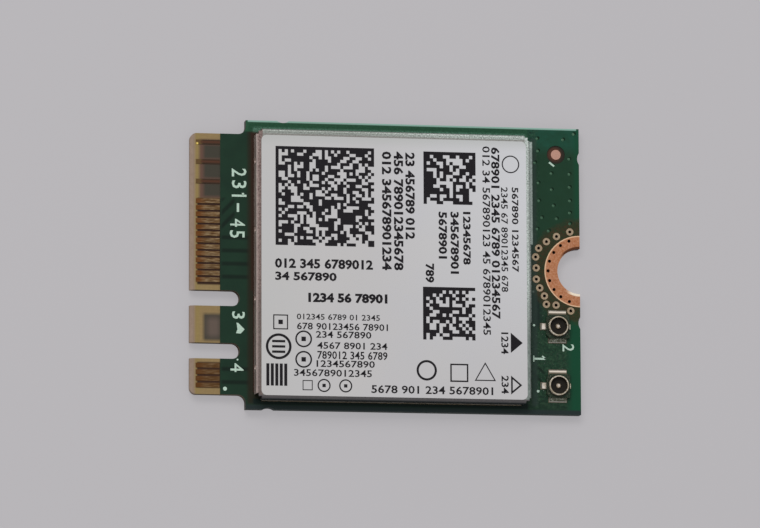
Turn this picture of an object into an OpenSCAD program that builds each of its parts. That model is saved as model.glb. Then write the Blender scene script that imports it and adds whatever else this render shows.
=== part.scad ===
// Wireless network card for a keyed edge connector, 22 x 30 mm, with a shielded radio section.
// The card lies flat on its underside. X runs along its length with the contact edge at -X,
// Y runs across it, Z points up, and the origin is at the middle of the footprint.
// All lengths are millimetres.

/* [Board] */
// Length of the card, from the contact edge to the antenna end
card_l = 30; // [29:0.5:42]
// Width of the card's body
card_w = 22; // [21.6:0.1:26]
// Full thickness, with a mask film on both faces
board_t = 0.8; // [0.7:0.05:1]
// Thickness of one solder mask film
mask_t = 0.06; // [0.05:0.01:0.08]
// Thickness of the copper on one face
foil_t = 0.045; // [0.03:0.005:0.05]
// Gap between a copper pad and the mask round it
mask_gap = 0.03; // [0.02:0.01:0.06]
// Wall of plated copper inside a hole
plating_t = 0.05; // [0.03:0.01:0.07]
// Width of the contact tongue
tongue_w = 19.85; // [19.5:0.05:20.2]
// Length of the contact tongue, from the contact edge to the shoulders
tongue_l = 4.25; // [4:0.05:4.6]
// Corner radius at the front of the tongue
tongue_corner_r = 0.5; // [0.2:0.1:0.8]
// Inside radius where the tongue meets the body
shoulder_r = 0.6; // [0.3:0.1:0.7]
// Length of the bevel on the contact edge
bevel_l = 0.3; // [0.1:0.05:0.4]
// Depth of the bevel on each face of the contact edge
bevel_t = 0.15; // [0.1:0.05:0.25]
// Width of a shallow bite that a break-off tab leaves in the board's edge
bite_w = 0.9; // [0.6:0.1:1.2]
// Depth of such a bite
bite_t = 0.14; // [0.08:0.02:0.2]

/* [Edge contacts] */
// Distance between two contacts on one face
contact_pitch = 0.5; // [0.46:0.01:0.5]
// Width of one contact
contact_w = 0.35; // [0.25:0.05:0.35]
// Length of one contact
contact_l = 1.81; // [1.5:0.01:1.81]
// Bare board between the contact edge and the contacts
contact_setback = 0.45; // [0.45:0.01:0.6]
// Distance from the contact edge to the front line of the solder mask
mask_setback = 2.3; // [2.3:0.05:2.6]
// Width of a key slot
key_w = 1.2; // [1:0.05:1.25]
// Depth of a key slot
key_l = 3.8; // [3.5:0.05:3.9]

/* [Mounting notch] */
// Radius of the plated half-round mounting notch
notch_r = 1.75; // [1.6:0.05:1.85]
// Outer radius of the copper land round the notch
ring_r = 2.75; // [2.6:0.05:2.9]
// Diameter of the small holes in that land
ring_via_d = 0.25; // [0.2:0.01:0.3]
// Distance of those holes from the land's outer edge
ring_via_inset = 0.28; // [0.24:0.01:0.34]
// Angle between two of those holes
ring_via_step = 17.6; // [16:0.1:19]

/* [Stitching vias] */
// Outer diameter of a via's copper collar
via_pad_d = 0.56; // [0.46:0.02:0.58]
// Diameter of the open hole in a via
via_hole_d = 0.24; // [0.18:0.02:0.26]

/* [Marks and test points] */
// Diameter of the copper alignment dot
fiducial_d = 0.76; // [0.6:0.02:1]
// Diameter of the mask opening round the alignment dot
fiducial_clear_d = 1.4; // [1.2:0.1:1.8]
// Diameter of a test point on the underside
test_pad_d = 0.9; // [0.6:0.1:1.2]
// Distance between two test points
test_pad_pitch = 1.6; // [1.4:0.1:1.8]

/* [Shield] */
// Distance from the shoulders to the lid
shield_front = 0.62; // [0.5:0.02:1]
// Distance from the antenna end to the lid
shield_back = 4.06; // [4:0.01:6]
// Distance from the -Y edge to the lid
shield_low = 0.67; // [0.5:0.01:1]
// Distance from the +Y edge to the lid
shield_high = 0.8; // [0.5:0.05:1.2]
// Height of the lid's top over the board
shield_h = 1.2; // [1.15:0.05:1.5]
// Thickness of the lid's sheet
lid_t = 0.13; // [0.1:0.01:0.15]
// Inside radius of the lid's folds
lid_fold_r = 0.05; // [0.03:0.01:0.08]
// Height of the lid's skirt, with its top
lid_skirt = 1.05; // [0.9:0.05:1.1]
// Open length at each end of a skirt, at the corners
corner_relief = 0.42; // [0.34:0.02:0.8]
// Clearance between the lid's skirt and the frame
lid_fit = 0.03; // [0.02:0.01:0.05]
// Thickness of the frame's sheet
frame_t = 0.15; // [0.12:0.01:0.2]
// Inside radius of the frame's folds
frame_fold_r = 0.08; // [0.05:0.01:0.1]
// Width of the frame's inward lip
frame_lip = 0.9; // [0.7:0.05:1.2]
// Width of the bar across the frame
bridge_w = 1.4; // [1:0.1:2]
// Diameter of the pick-up disc on that bar
pickup_d = 3.6; // [3:0.1:5]
// Diameter of a snap dimple in the lid's skirt
dimple_d = 0.4; // [0.3:0.02:0.44]
// Clearance round a dimple in the frame's hole
dimple_fit = 0.06; // [0.04:0.01:0.08]
// Depth of a snap dimple
dimple_t = 0.08; // [0.06:0.01:0.09]
// Number of snap dimples on each side
dimple_n = 4; // [2:1:6]
// Width of the copper land outside the frame
shield_land_w = 0.2; // [0.18:0.01:0.24]
// Width of the solder fillet along the frame's foot
fillet_w = 0.14; // [0.1:0.02:0.16]
// Height of that fillet
fillet_h = 0.12; // [0.08:0.02:0.14]

/* [Label] */
// Thickness of the label film
label_t = 0.08; // [0.05:0.01:0.1]
// Corner radius of the label
label_r = 0.4; // [0.2:0.1:0.8]
// Distance from the lid's front edge to the label
label_front = 0.38; // [0.2:0.02:0.6]
// Distance from the lid's back edge to the label
label_back = 0.33; // [0.2:0.02:0.6]
// Distance from the lid's -Y edge to the label
label_low = 0.25; // [0.12:0.02:0.6]
// Distance from the lid's +Y edge to the label
label_high = 0.5; // [0.2:0.02:0.6]

/* [Radio parts under the shield] */
// Side of the square radio chip
radio_chip_w = 9; // [8.6:0.1:9.2]
// Height of the radio chip's body
radio_chip_h = 0.8; // [0.6:0.05:0.82]
// Number of terminals on each side of the radio chip
radio_chip_pins = 16; // [8:1:16]
// Side of a front-end module
front_end_w = 2.5; // [2:0.1:2.7]
// Height of a front-end module
front_end_h = 0.6; // [0.4:0.05:0.8]
// Length of the memory chip
memory_l = 3; // [2.6:0.1:3.2]
// Width of the memory chip
memory_w = 2; // [1.6:0.1:2.2]
// Height of the memory chip
memory_h = 0.55; // [0.4:0.05:0.8]
// Length of the crystal
crystal_l = 2.5; // [2:0.1:2.6]
// Width of the crystal
crystal_w = 2; // [1.6:0.1:2.1]
// Height of the crystal's ceramic base
crystal_base_h = 0.35; // [0.25:0.05:0.5]
// Height of the crystal's metal lid
crystal_lid_h = 0.2; // [0.1:0.02:0.26]
// Length, width and height of a capacitor
capacitor_l = 1; // [0.9:0.05:1.1]
// Width and height of a capacitor
capacitor_w = 0.5; // [0.4:0.02:0.6]
// Length of a resistor
resistor_l = 1; // [0.9:0.05:1.1]
// Width of a resistor
resistor_w = 0.5; // [0.4:0.02:0.6]
// Height of a resistor
resistor_h = 0.32; // [0.25:0.01:0.4]
// Length of a power inductor
inductor_l = 2.5; // [2.2:0.1:2.6]
// Width of a power inductor
inductor_w = 2; // [1.8:0.1:2.2]
// Height of a power inductor
inductor_h = 0.9; // [0.7:0.05:0.95]
// Length of a band filter
filter_l = 2; // [1.8:0.1:2.1]
// Width of a band filter
filter_w = 1.25; // [1:0.05:1.3]
// Height of a band filter
filter_h = 0.7; // [0.5:0.05:0.9]

/* [Antenna ports] */
// Distance from the antenna end to the ports
port_setback = 1.8; // [1.7:0.05:2]
// Distance from the -Y edge to the outer port
port_edge = 2.17; // [2:0.01:2.3]
// Distance between the two ports
port_pitch = 4.54; // [4.3:0.02:4.6]
// Outer diameter of the contact ring
port_d = 1.5; // [1.4:0.02:1.56]
// Wall of the contact ring
port_wall = 0.09; // [0.07:0.01:0.12]
// Height of the ring's top over the board
port_h = 0.6; // [0.5:0.02:0.8]
// Diameter of the centre contact
port_pin_d = 0.36; // [0.3:0.02:0.4]
// Height of the centre contact over the board
port_pin_h = 0.46; // [0.36:0.02:0.48]
// Side of the square insulator
port_base_w = 1.8; // [1.7:0.02:1.9]
// Height of the insulator over the board
port_base_h = 0.28; // [0.22:0.02:0.32]
// Length of a ground foot
foot_l = 1.32; // [1.2:0.01:1.45]
// Reach of a ground foot past the insulator
foot_reach = 0.26; // [0.22:0.01:0.32]
// Thickness of the ground feet
foot_t = 0.1; // [0.08:0.01:0.12]
// Width of the signal tab
tab_w = 0.44; // [0.36:0.02:0.48]
// Thickness of the signal tab
tab_t = 0.08; // [0.06:0.01:0.1]
// Reach of the signal tab past the insulator
tab_reach = 0.32; // [0.26:0.01:0.4]
// Clearance of the moulded insulator round the metal
mould_gap = 0.01; // [0.005:0.005:0.02]

/* [Hidden] */
$fn = 48;

// Extra length of a cutting shape past the face that it cuts
cut_extra = 0.5;

// Heights of the board's layers over the surface that the card lies on
laminate_z = mask_t;
laminate_t = board_t - 2 * mask_t;
laminate_top_z = laminate_z + laminate_t;
copper_top_z = laminate_top_z + foil_t;
// A land and its coat of solder are level with the mask, and soldered parts stand on them
land_t = mask_t;
seat_z = laminate_top_z + land_t;

// Ends, sides and shoulders of the outline
front_x = -card_l / 2;
back_x = card_l / 2;
side_y = card_w / 2;
shoulder_x = front_x + tongue_l;

// Places of the break-off bites: angle of the edge, then share of half its length
bite_places = [[0, 0.79], [0, -0.361], [90, 0.527], [-90, -0.6]];

// Contact numbers, counted from -Y, odd ones on the top face. Number 38 is the middle.
middle_contact = 38;
top_contacts = concat([for (n = [1:2:7]) n], [for (n = [33:2:57]) n], [63, 69, 75]);
bottom_contacts = concat([for (n = [2:2:6]) n], [for (n = [16:2:22]) n], [for (n = [32:2:74]) n]);
// The two key slots take the place of contacts 8 to 15 and 24 to 31
key_slots = [11.5, 27.5];

// Holes in the land of the mounting notch
ring_via_n = 9;
ring_via_radius = ring_r - ring_via_inset;

// Vias that follow the notch: distance from its centre as a share of the land's radius, then
// angle from the inward direction
stitch_places = [[1.138, -76], [1.167, -56], [1.244, -41], [1.32, -28.5], [1.305, -17],
    [1.236, -3.5], [1.255, 11], [1.236, 23], [1.229, 35], [1.335, 44.5], [1.171, 54.5],
    [1.138, 76.5]];

// Place of the alignment dot, from the antenna end and from the +Y edge
fiducial_back = 1.8;
fiducial_side = 2.03;

// Test points on the underside: two rows behind the contacts
test_pad_n = 7;
test_row_y = 5;

// Outside of the lid and of the frame
lid_x0 = shoulder_x + shield_front;
lid_x1 = back_x - shield_back;
lid_y0 = shield_low - side_y;
lid_y1 = side_y - shield_high;
lid_l = lid_x1 - lid_x0;
lid_w = lid_y1 - lid_y0;
shield_x = (lid_x0 + lid_x1) / 2;
shield_y = (lid_y0 + lid_y1) / 2;
lid_top_z = board_t + shield_h;
frame_inset = lid_t + lid_fit;
frame_l = lid_l - 2 * frame_inset;
frame_w = lid_w - 2 * frame_inset;
frame_h = lid_top_z - lid_t - seat_z;
// Depth under the lid's top of the snap dimples
dimple_drop = (lid_skirt + lid_fold_r + lid_t) / 2;
// Length of a shield side that holds the dimples
dimple_margin = 2.4;
window_r = 0.6;
// Copper under the frame's wall reaches this far inside it
shield_land_in = 0.12;

// Chips and passive parts, measured from the middle of the shield. The outer ones keep their
// clearance to the frame's walls, and the rest sit between those.
wall_gap = 1;
part_gap = 0.43;
inside_x = frame_l / 2 - frame_t - wall_gap;
inside_y = frame_w / 2 - frame_t - wall_gap;
top_row_y = inside_y - crystal_w / 2;
low_row_y = memory_w / 2 - inside_y;

filter_x = inside_x - filter_w / 2;
front_end_x = filter_x - (filter_w + front_end_w) / 2 - part_gap;
front_end_high = 2.2;
front_end_low = -3.4;
front_end_places = [[front_end_x, front_end_high], [front_end_x, front_end_low]];
filter_places = [[filter_x, front_end_high, 90], [filter_x, front_end_low, 90]];
crystal_place = [front_end_x, top_row_y];
memory_place = [1.3, low_row_y];
inductor_pitch = 3.8;
inductor_x = inductor_l / 2 - inside_x;
inductor_places = [[inductor_x, low_row_y, 0], [inductor_x + inductor_pitch, low_row_y, 0]];

capacitor_x = capacitor_l / 2 - inside_x;
radio_chip_x = (capacitor_x + capacitor_l / 2 + front_end_x - front_end_w / 2) / 2;
radio_chip_y = 0.6;
radio_chip_place = [radio_chip_x, radio_chip_y];
radio_pin_pitch = 0.5;
radio_pin_w = 0.23;
radio_pin_l = 0.4;
radio_land_out = 0.2;
chip_standoff = 0.05;
radio_pad_w = 6.4;
radio_low_y = radio_chip_y - radio_chip_w / 2 - radio_land_out;

capacitor_pitch = 1.5;
column_y = 0.75;
capacitor_column_n = 8;
capacitor_row_n = 7;
capacitor_row_gap = 1.75;
capacitor_row_x = front_end_x - crystal_l / 2 - capacitor_row_gap
    - (capacitor_row_n - 1) / 2 * capacitor_pitch;
resistor_row_n = 8;
small_group_n = 3;
resistor_pitch = 1.2;
resistor_low_y = (radio_low_y + low_row_y + memory_w / 2) / 2;
resistor_high_y = (top_row_y - crystal_w / 2 + front_end_high + front_end_w / 2) / 2;
resistor_mid_y = (front_end_high + front_end_low) / 2;

// A row or column of places, centred, in which each part is turned by an angle
function row_of(n, x, y, pitch, turn) =
    [for (i = [0:n - 1]) [x + (i - (n - 1) / 2) * pitch, y, turn]];
function column_of(n, x, y, pitch, turn) =
    [for (i = [0:n - 1]) [x, y + (i - (n - 1) / 2) * pitch, turn]];

capacitor_places = concat(column_of(capacitor_column_n, capacitor_x, column_y, capacitor_pitch, 0),
    row_of(capacitor_row_n, capacitor_row_x, top_row_y, capacitor_pitch, 90),
    row_of(small_group_n, front_end_x, low_row_y, capacitor_pitch, 90));
resistor_places = concat(
    row_of(resistor_row_n, radio_chip_x, resistor_low_y, resistor_pitch, 90),
    row_of(small_group_n, front_end_x, resistor_high_y, resistor_pitch, 90),
    row_of(small_group_n, front_end_x, resistor_mid_y, resistor_pitch, 90));

// Marks, terminals and lands of those parts
chip_mark_d = 0.6;
chip_mark_t = 0.05;
chip_mark_inset = 0.8;
crystal_corner_r = 0.2;
crystal_lid_inset = 0.12;
crystal_land_l = 0.9;
crystal_land_w = 0.7;
module_land_n = 4;
module_land_w = 0.3;
module_land_l = 0.5;
inductor_terminal_l = 0.5;
inductor_inset = 0.05;
passive_terminal_l = 0.25;
passive_inset = 0.02;
// Width that a solder land adds at each side and end of a part
land_margin = 0.06;

// Antenna ports
port_x = back_x - port_setback;
port_1_y = port_edge - side_y;
port_2_y = port_1_y + port_pitch;
port_places = [[port_x, port_1_y], [port_x, port_2_y]];
port_inner_d = port_d - 2 * port_wall;
foot_out_y = port_base_w / 2 + foot_reach;
foot_in_y = port_inner_d / 2 - 0.1;
// The small third foot, opposite to the signal tab
rear_foot_w = 0.4;
rear_foot_reach = 0.1;
rear_foot_in_x = port_inner_d / 2 - 0.1;
base_chamfer = 0.25;
pin_chamfer = 0.08;
// The rounded snap groove round the ring, and the flare at the ring's foot
groove_r = 0.05;
groove_t = 0.03;
groove_drop = 0.16;
flare_w = 0.06;
flare_h = 0.14;
// Lands under the ports and the solder along their feet
port_land_side = 0.04;
port_land_out = 0.09;
port_solder_w = 0.06;
port_solder_h = 0.06;

// A rectangle with round corners, centred
module round_rect(l, w, r) {
    square([l - 2 * r, w], center = true);
    square([l, w - 2 * r], center = true);
    for (sx = [-1, 1], sy = [-1, 1])
        translate([sx * (l / 2 - r), sy * (w / 2 - r)]) circle(r);
}

// Place of a contact number along the edge
function contact_y(n) = (n - middle_contact) * contact_pitch / 2;

// The circle whose edge cuts a shallow bite of a given width and depth
function bite_radius(w, t) = (w * w / 4 + t * t) / (2 * t);

module board_bites() {
    r = bite_radius(bite_w, bite_t);
    for (place = bite_places) {
        reach = abs(place[0]) == 90 ? side_y : back_x;
        half_edge = abs(place[0]) == 90 ? back_x : side_y;
        rotate(place[0]) translate([reach - bite_t + r, place[1] * half_edge]) circle(r);
    }
}

module key_slot(n) {
    translate([front_x - cut_extra, contact_y(n) - key_w / 2])
        square([key_l - key_w / 2 + cut_extra, key_w]);
    translate([front_x + key_l - key_w / 2, contact_y(n)]) circle(d = key_w);
}

// The card's outline: body, tongue with round corners, and filleted shoulders
module board_outline() {
    difference() {
        union() {
            translate([shoulder_x, -side_y]) square([card_l - tongue_l, card_w]);
            translate([front_x + tongue_corner_r, -tongue_w / 2])
                square([tongue_l - tongue_corner_r + cut_extra, tongue_w]);
            translate([front_x, tongue_corner_r - tongue_w / 2])
                square([tongue_l, tongue_w - 2 * tongue_corner_r]);
            for (s = [-1, 1]) {
                translate([front_x + tongue_corner_r, s * (tongue_w / 2 - tongue_corner_r)])
                    circle(tongue_corner_r);
                translate([shoulder_x, s * tongue_w / 2]) shoulder_fillet(s);
            }
        }
        board_bites();
        for (n = key_slots) key_slot(n);
    }
}

// The web that fills the inside corner of a shoulder, on side s
module shoulder_fillet(s) {
    difference() {
        translate([-shoulder_r, s > 0 ? -cut_extra : -shoulder_r])
            square([shoulder_r + cut_extra, shoulder_r + cut_extra]);
        translate([-shoulder_r, s * shoulder_r]) circle(shoulder_r);
    }
}

// Puts children at each stitching via
module at_stitches() {
    for (place = stitch_places)
        translate([back_x, 0]) rotate(place[1]) translate([-ring_r * place[0], 0]) children();
}

// Puts children at each hole in the notch's land
module at_ring_vias() {
    for (i = [0:ring_via_n - 1])
        translate([back_x, 0]) rotate((i - (ring_via_n - 1) / 2) * ring_via_step)
            translate([-ring_via_radius, 0]) children();
}

module pcb_laminate() {
    color("#8a7a4e") difference() {
        translate([0, 0, laminate_z]) linear_extrude(laminate_t) difference() {
            board_outline();
            translate([back_x, 0]) circle(notch_r + plating_t);
            at_stitches() circle(d = via_hole_d + 2 * plating_t, $fn = 24);
            at_ring_vias() circle(d = ring_via_d + 2 * plating_t, $fn = 24);
        }
        edge_bevel(laminate_z, 1);
        edge_bevel(laminate_top_z, -1);
    }
}

// The wedge cut from the contact edge, on the face at height z
module edge_bevel(z, up) {
    translate([front_x, 0, z]) rotate([90, 0, 0]) linear_extrude(card_w, center = true)
        polygon([[-cut_extra, -up * cut_extra], [bevel_l, -up * cut_extra], [bevel_l, 0],
            [0, up * bevel_t], [-cut_extra, up * bevel_t]]);
}

// A mask film: the outline behind the contacts, without the land of the notch and the vias
module mask_film() {
    difference() {
        intersection() {
            board_outline();
            translate([front_x + mask_setback, -card_w]) square([card_l, 2 * card_w]);
        }
        translate([back_x, 0]) circle(ring_r + mask_gap);
        at_stitches() circle(d = via_pad_d + 2 * mask_gap, $fn = 24);
    }
}

module solder_mask_top() {
    color("#243e2e") translate([0, 0, laminate_top_z]) linear_extrude(mask_t) difference() {
        mask_film();
        at_fiducial() circle(d = fiducial_clear_d);
        shield_land_shape(mask_gap);
        component_openings();
        at_ports() port_land_shapes(mask_gap);
    }
}

module solder_mask_bottom() {
    color("#243e2e") linear_extrude(mask_t) difference() {
        mask_film();
        at_test_pads() circle(d = test_pad_d + 2 * mask_gap);
    }
}

// One row of contacts, on the face whose copper starts at height z
module contact_row(contacts, z) {
    for (n = contacts)
        translate([front_x + contact_setback, contact_y(n) - contact_w / 2, z])
            cube([contact_l, contact_w, foil_t]);
}

module edge_contacts_top() {
    color("#b07f55") contact_row(top_contacts, laminate_top_z);
}

module edge_contacts_bottom() {
    color("#b07f55") contact_row(bottom_contacts, laminate_z - foil_t);
}

// A plated hole: a collar on each face and the wall between them
module eyelet(hole_d, pad_d) {
    low_z = laminate_z - foil_t;
    rotate_extrude() difference() {
        translate([hole_d / 2, low_z]) square([(pad_d - hole_d) / 2, copper_top_z - low_z]);
        translate([hole_d / 2 + plating_t, laminate_z]) square([pad_d, laminate_t]);
    }
}

// The half-round plated notch, with its land on both faces and the small plated holes in it
module mounting_ring() {
    low_z = laminate_z - foil_t;
    color("#c08257") difference() {
        union() {
            translate([back_x, 0, 0]) eyelet(2 * notch_r, 2 * ring_r);
            at_ring_vias() translate([0, 0, low_z])
                cylinder(d = ring_via_d + 2 * plating_t, h = copper_top_z - low_z, $fn = 24);
        }
        at_ring_vias() translate([0, 0, low_z - cut_extra])
            cylinder(d = ring_via_d, h = copper_top_z - low_z + 2 * cut_extra, $fn = 24);
        translate([back_x, -ring_r - cut_extra, low_z - cut_extra])
            cube([ring_r + cut_extra, 2 * (ring_r + cut_extra), board_t + 2 * cut_extra]);
    }
}

module stitching_vias() {
    color("#cfae95") at_stitches() eyelet(via_hole_d, via_pad_d, $fn = 24);
}

module at_fiducial() {
    translate([back_x - fiducial_back, side_y - fiducial_side]) children();
}

module fiducial() {
    color("#c08257") at_fiducial() translate([0, 0, laminate_top_z])
        cylinder(d = fiducial_d, h = foil_t);
}

module at_test_pads() {
    for (row_y = [-test_row_y, test_row_y], i = [0:test_pad_n - 1])
        translate([(i - (test_pad_n - 1) / 2) * test_pad_pitch, row_y]) children();
}

module test_pads() {
    color("#c9a25a") at_test_pads() translate([0, 0, laminate_z - foil_t])
        cylinder(d = test_pad_d, h = foil_t);
}

// The four strips of copper that the frame's walls stand on, grown by a margin all round
module shield_land_shape(margin) {
    out = shield_land_w + margin;
    in = frame_t + shield_land_in + margin;
    translate([shield_x, shield_y]) difference() {
        square([frame_l + 2 * out, frame_w + 2 * out], center = true);
        square([frame_l - 2 * in, frame_w - 2 * in], center = true);
        for (sx = [-1, 1], sy = [-1, 1]) translate([sx * frame_l / 2, sy * frame_w / 2])
            square(2 * (corner_relief - margin), center = true);
    }
}

module shield_land() {
    color("#b9b6ac") translate([0, 0, laminate_top_z]) linear_extrude(land_t)
        shield_land_shape(0);
}

// One side of a folded sheet box: its outer face lies at x = 0 and it runs along Y
module fold_strip(span, top, drop, t, fold_r) {
    out_r = fold_r + t;
    rotate([90, 0, 0]) linear_extrude(span, center = true) translate([0, top]) {
        intersection() {
            translate([-out_r, -out_r]) difference() {
                circle(out_r);
                circle(fold_r);
            }
            translate([-out_r, -out_r]) square(out_r);
        }
        translate([-t, -drop]) square([t, drop - out_r]);
    }
}

// A box folded from one sheet, open below and at its four corners
module folded_box(l, w, top, drop, t, fold_r) {
    out_r = fold_r + t;
    translate([out_r - l / 2, out_r - w / 2, top - t]) cube([l - 2 * out_r, w - 2 * out_r, t]);
    for (side = [0, 1]) {
        mirror([side, 0, 0]) translate([l / 2, 0, 0])
            fold_strip(w - 2 * corner_relief, top, drop, t, fold_r);
        mirror([0, side, 0]) translate([0, w / 2, 0]) rotate(90)
            fold_strip(l - 2 * corner_relief, top, drop, t, fold_r);
    }
}

// Puts children at each snap dimple, with +Z pointing out of a wall that lies inside the
// lid's outer face by an inset
module at_dimples(inset) {
    for (side = [0:3]) {
        along = side % 2 == 0 ? lid_w : lid_l;
        across = side % 2 == 0 ? lid_l : lid_w;
        step = (along - 2 * dimple_margin) / (dimple_n - 1);
        for (i = [0:dimple_n - 1])
            rotate(side * 90) translate([across / 2 - inset, dimple_margin - along / 2 + i * step,
                lid_top_z - dimple_drop]) rotate([0, 90, 0]) children();
    }
}

// The soldered frame: low walls, an inward lip, and a bar with a disc for the pick-up nozzle
module shield_frame() {
    window_l = frame_l - 2 * frame_lip;
    window_w = frame_w - 2 * frame_lip;
    color("#a8a49c") translate([shield_x, shield_y, 0]) difference() {
        folded_box(frame_l, frame_w, seat_z + frame_h, frame_h, frame_t, frame_fold_r);
        translate([0, 0, seat_z + frame_h - frame_t - cut_extra])
            linear_extrude(frame_t + 2 * cut_extra) difference() {
                round_rect(window_l, window_w, window_r);
                square([bridge_w, window_w + cut_extra], center = true);
                circle(d = pickup_d);
            }
        at_dimples(frame_inset) translate([0, 0, -frame_t - cut_extra])
            cylinder(d = dimple_d + 2 * dimple_fit, h = frame_t + 2 * cut_extra);
    }
}

// The snap-on lid: a folded sheet whose skirts are dimpled into the frame's holes
module shield_lid() {
    color("#b4b3ae") translate([shield_x, shield_y, 0]) difference() {
        union() {
            folded_box(lid_l, lid_w, lid_top_z, lid_skirt, lid_t, lid_fold_r);
            at_dimples(0) translate([0, 0, -lid_t - dimple_t])
                cylinder(d = dimple_d, h = lid_t + dimple_t / 2);
        }
        at_dimples(0) translate([0, 0, -dimple_t])
            cylinder(d = dimple_d - lid_fit, h = dimple_t + cut_extra);
    }
}

// Solder that fills the corner between the frame's foot and its land
module shield_solder() {
    color("#c2c0bb") translate([shield_x, shield_y, seat_z]) for (side = [0:3]) {
        along = side % 2 == 0 ? frame_w : frame_l;
        across = side % 2 == 0 ? frame_l : frame_w;
        rotate(side * 90) translate([across / 2, 0, 0]) rotate([90, 0, 0])
            linear_extrude(along - 2 * corner_relief, center = true)
                polygon([[0, 0], [fillet_w, 0], [fillet_w / 3, fillet_h / 3], [0, fillet_h]]);
    }
}

module label() {
    l = lid_l - label_front - label_back;
    w = lid_w - label_low - label_high;
    x = lid_x0 + label_front + l / 2;
    y = lid_y0 + label_low + w / 2;
    color("#e4e3de") translate([x, y, lid_top_z]) linear_extrude(label_t)
        round_rect(l, w, label_r);
}

// Puts children at a place measured from the middle of the shield
module in_shield(place) {
    translate([shield_x + place[0], shield_y + place[1]]) children();
}

// Puts children at every terminal of the radio chip, with +X pointing out of the chip's side
module at_radio_pins() {
    for (turn = [0:90:270], i = [0:radio_chip_pins - 1])
        in_shield(radio_chip_place) rotate(turn)
            translate([radio_chip_w / 2, (i - (radio_chip_pins - 1) / 2) * radio_pin_pitch])
                children();
}

// A moulded block with a round first-pin mark, standing at height z
module moulded_block(l, w, h, z) {
    difference() {
        translate([-l / 2, -w / 2, z]) cube([l, w, h]);
        translate([chip_mark_inset - l / 2, w / 2 - chip_mark_inset, z + h - chip_mark_t])
            cylinder(d = chip_mark_d, h = chip_mark_t + cut_extra);
    }
}

module radio_chip() {
    color("#1d1d1f") in_shield(radio_chip_place)
        moulded_block(radio_chip_w, radio_chip_w, radio_chip_h, seat_z + chip_standoff);
}

module radio_chip_terminals() {
    color("#c9c4b8") {
        at_radio_pins() translate([-radio_pin_l, -radio_pin_w / 2, seat_z])
            cube([radio_pin_l, radio_pin_w, chip_standoff]);
        in_shield(radio_chip_place) translate([0, 0, seat_z + chip_standoff / 2])
            cube([radio_pad_w, radio_pad_w, chip_standoff], center = true);
    }
}

module crystal_base() {
    color("#3b3a38") in_shield(crystal_place) translate([0, 0, seat_z])
        linear_extrude(crystal_base_h) difference() {
            square([crystal_l, crystal_w], center = true);
            for (sx = [-1, 1], sy = [-1, 1])
                translate([sx * crystal_l / 2, sy * crystal_w / 2])
                    circle(crystal_corner_r, $fn = 24);
        }
}

module crystal_lid() {
    color("#c8c6bf") in_shield(crystal_place) translate([0, 0, seat_z + crystal_base_h])
        linear_extrude(crystal_lid_h)
            round_rect(crystal_l - 2 * crystal_lid_inset - crystal_corner_r,
                crystal_w - 2 * crystal_lid_inset - crystal_corner_r, crystal_corner_r);
}

module front_end_modules() {
    color("#27272a") for (place = front_end_places) in_shield(place)
        moulded_block(front_end_w, front_end_w, front_end_h, seat_z);
}

module memory_chip() {
    color("#202022") in_shield(memory_place)
        moulded_block(memory_l, memory_w, memory_h, seat_z);
}

module band_filters() {
    color("#d8d4c6") for (place = filter_places) in_shield(place) rotate(place[2])
        translate([-filter_l / 2, -filter_w / 2, seat_z]) cube([filter_l, filter_w, filter_h]);
}

// The bodies of a group of two-terminal parts, slimmer than their end caps by an inset
module end_capped_bodies(places, l, w, h, cap_l, inset) {
    for (place = places) in_shield(place) rotate(place[2])
        translate([cap_l - l / 2, inset - w / 2, seat_z + inset])
            cube([l - 2 * cap_l, w - 2 * inset, h - 2 * inset]);
}

// The soldered end caps of a group of two-terminal parts
module end_caps(places, l, w, h, cap_l) {
    for (place = places, end = [0, 1]) in_shield(place) rotate(place[2]) mirror([end, 0, 0])
        translate([l / 2 - cap_l, -w / 2, seat_z]) cube([cap_l, w, h]);
}

module power_inductors() {
    color("#4a4a4c") end_capped_bodies(inductor_places, inductor_l, inductor_w, inductor_h,
        inductor_terminal_l, inductor_inset);
}

module inductor_terminals() {
    color("#c9c7c0") end_caps(inductor_places, inductor_l, inductor_w, inductor_h,
        inductor_terminal_l);
}

module capacitor_bodies() {
    color("#a9845a") end_capped_bodies(capacitor_places, capacitor_l, capacitor_w, capacitor_w,
        passive_terminal_l, passive_inset);
}

module capacitor_terminals() {
    color("#cfccc4") end_caps(capacitor_places, capacitor_l, capacitor_w, capacitor_w,
        passive_terminal_l);
}

module resistor_bodies() {
    color("#222326") end_capped_bodies(resistor_places, resistor_l, resistor_w, resistor_h,
        passive_terminal_l, passive_inset);
}

module resistor_terminals() {
    color("#cfccc4") end_caps(resistor_places, resistor_l, resistor_w, resistor_h,
        passive_terminal_l);
}

// The two lands of each part in a group, or the one opening round both
module pair_lands(places, l, w, cap_l, margin) {
    reach = land_margin + margin;
    for (place = places, end = [0, 1]) in_shield(place) rotate(place[2]) mirror([end, 0])
        translate([l / 2 - cap_l - reach, -w / 2 - reach])
            square([cap_l + 2 * reach, w + 2 * reach]);
}

// Rows of lands under the two long edges of a leadless block
module row_lands(l, w, margin) {
    pitch = (l - 2 * module_land_w) / (module_land_n - 1);
    for (i = [0:module_land_n - 1], sy = [-1, 1])
        translate([(i - (module_land_n - 1) / 2) * pitch, sy * (w - module_land_l) / 2])
            square([module_land_w + 2 * margin, module_land_l + 2 * margin], center = true);
}

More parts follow.
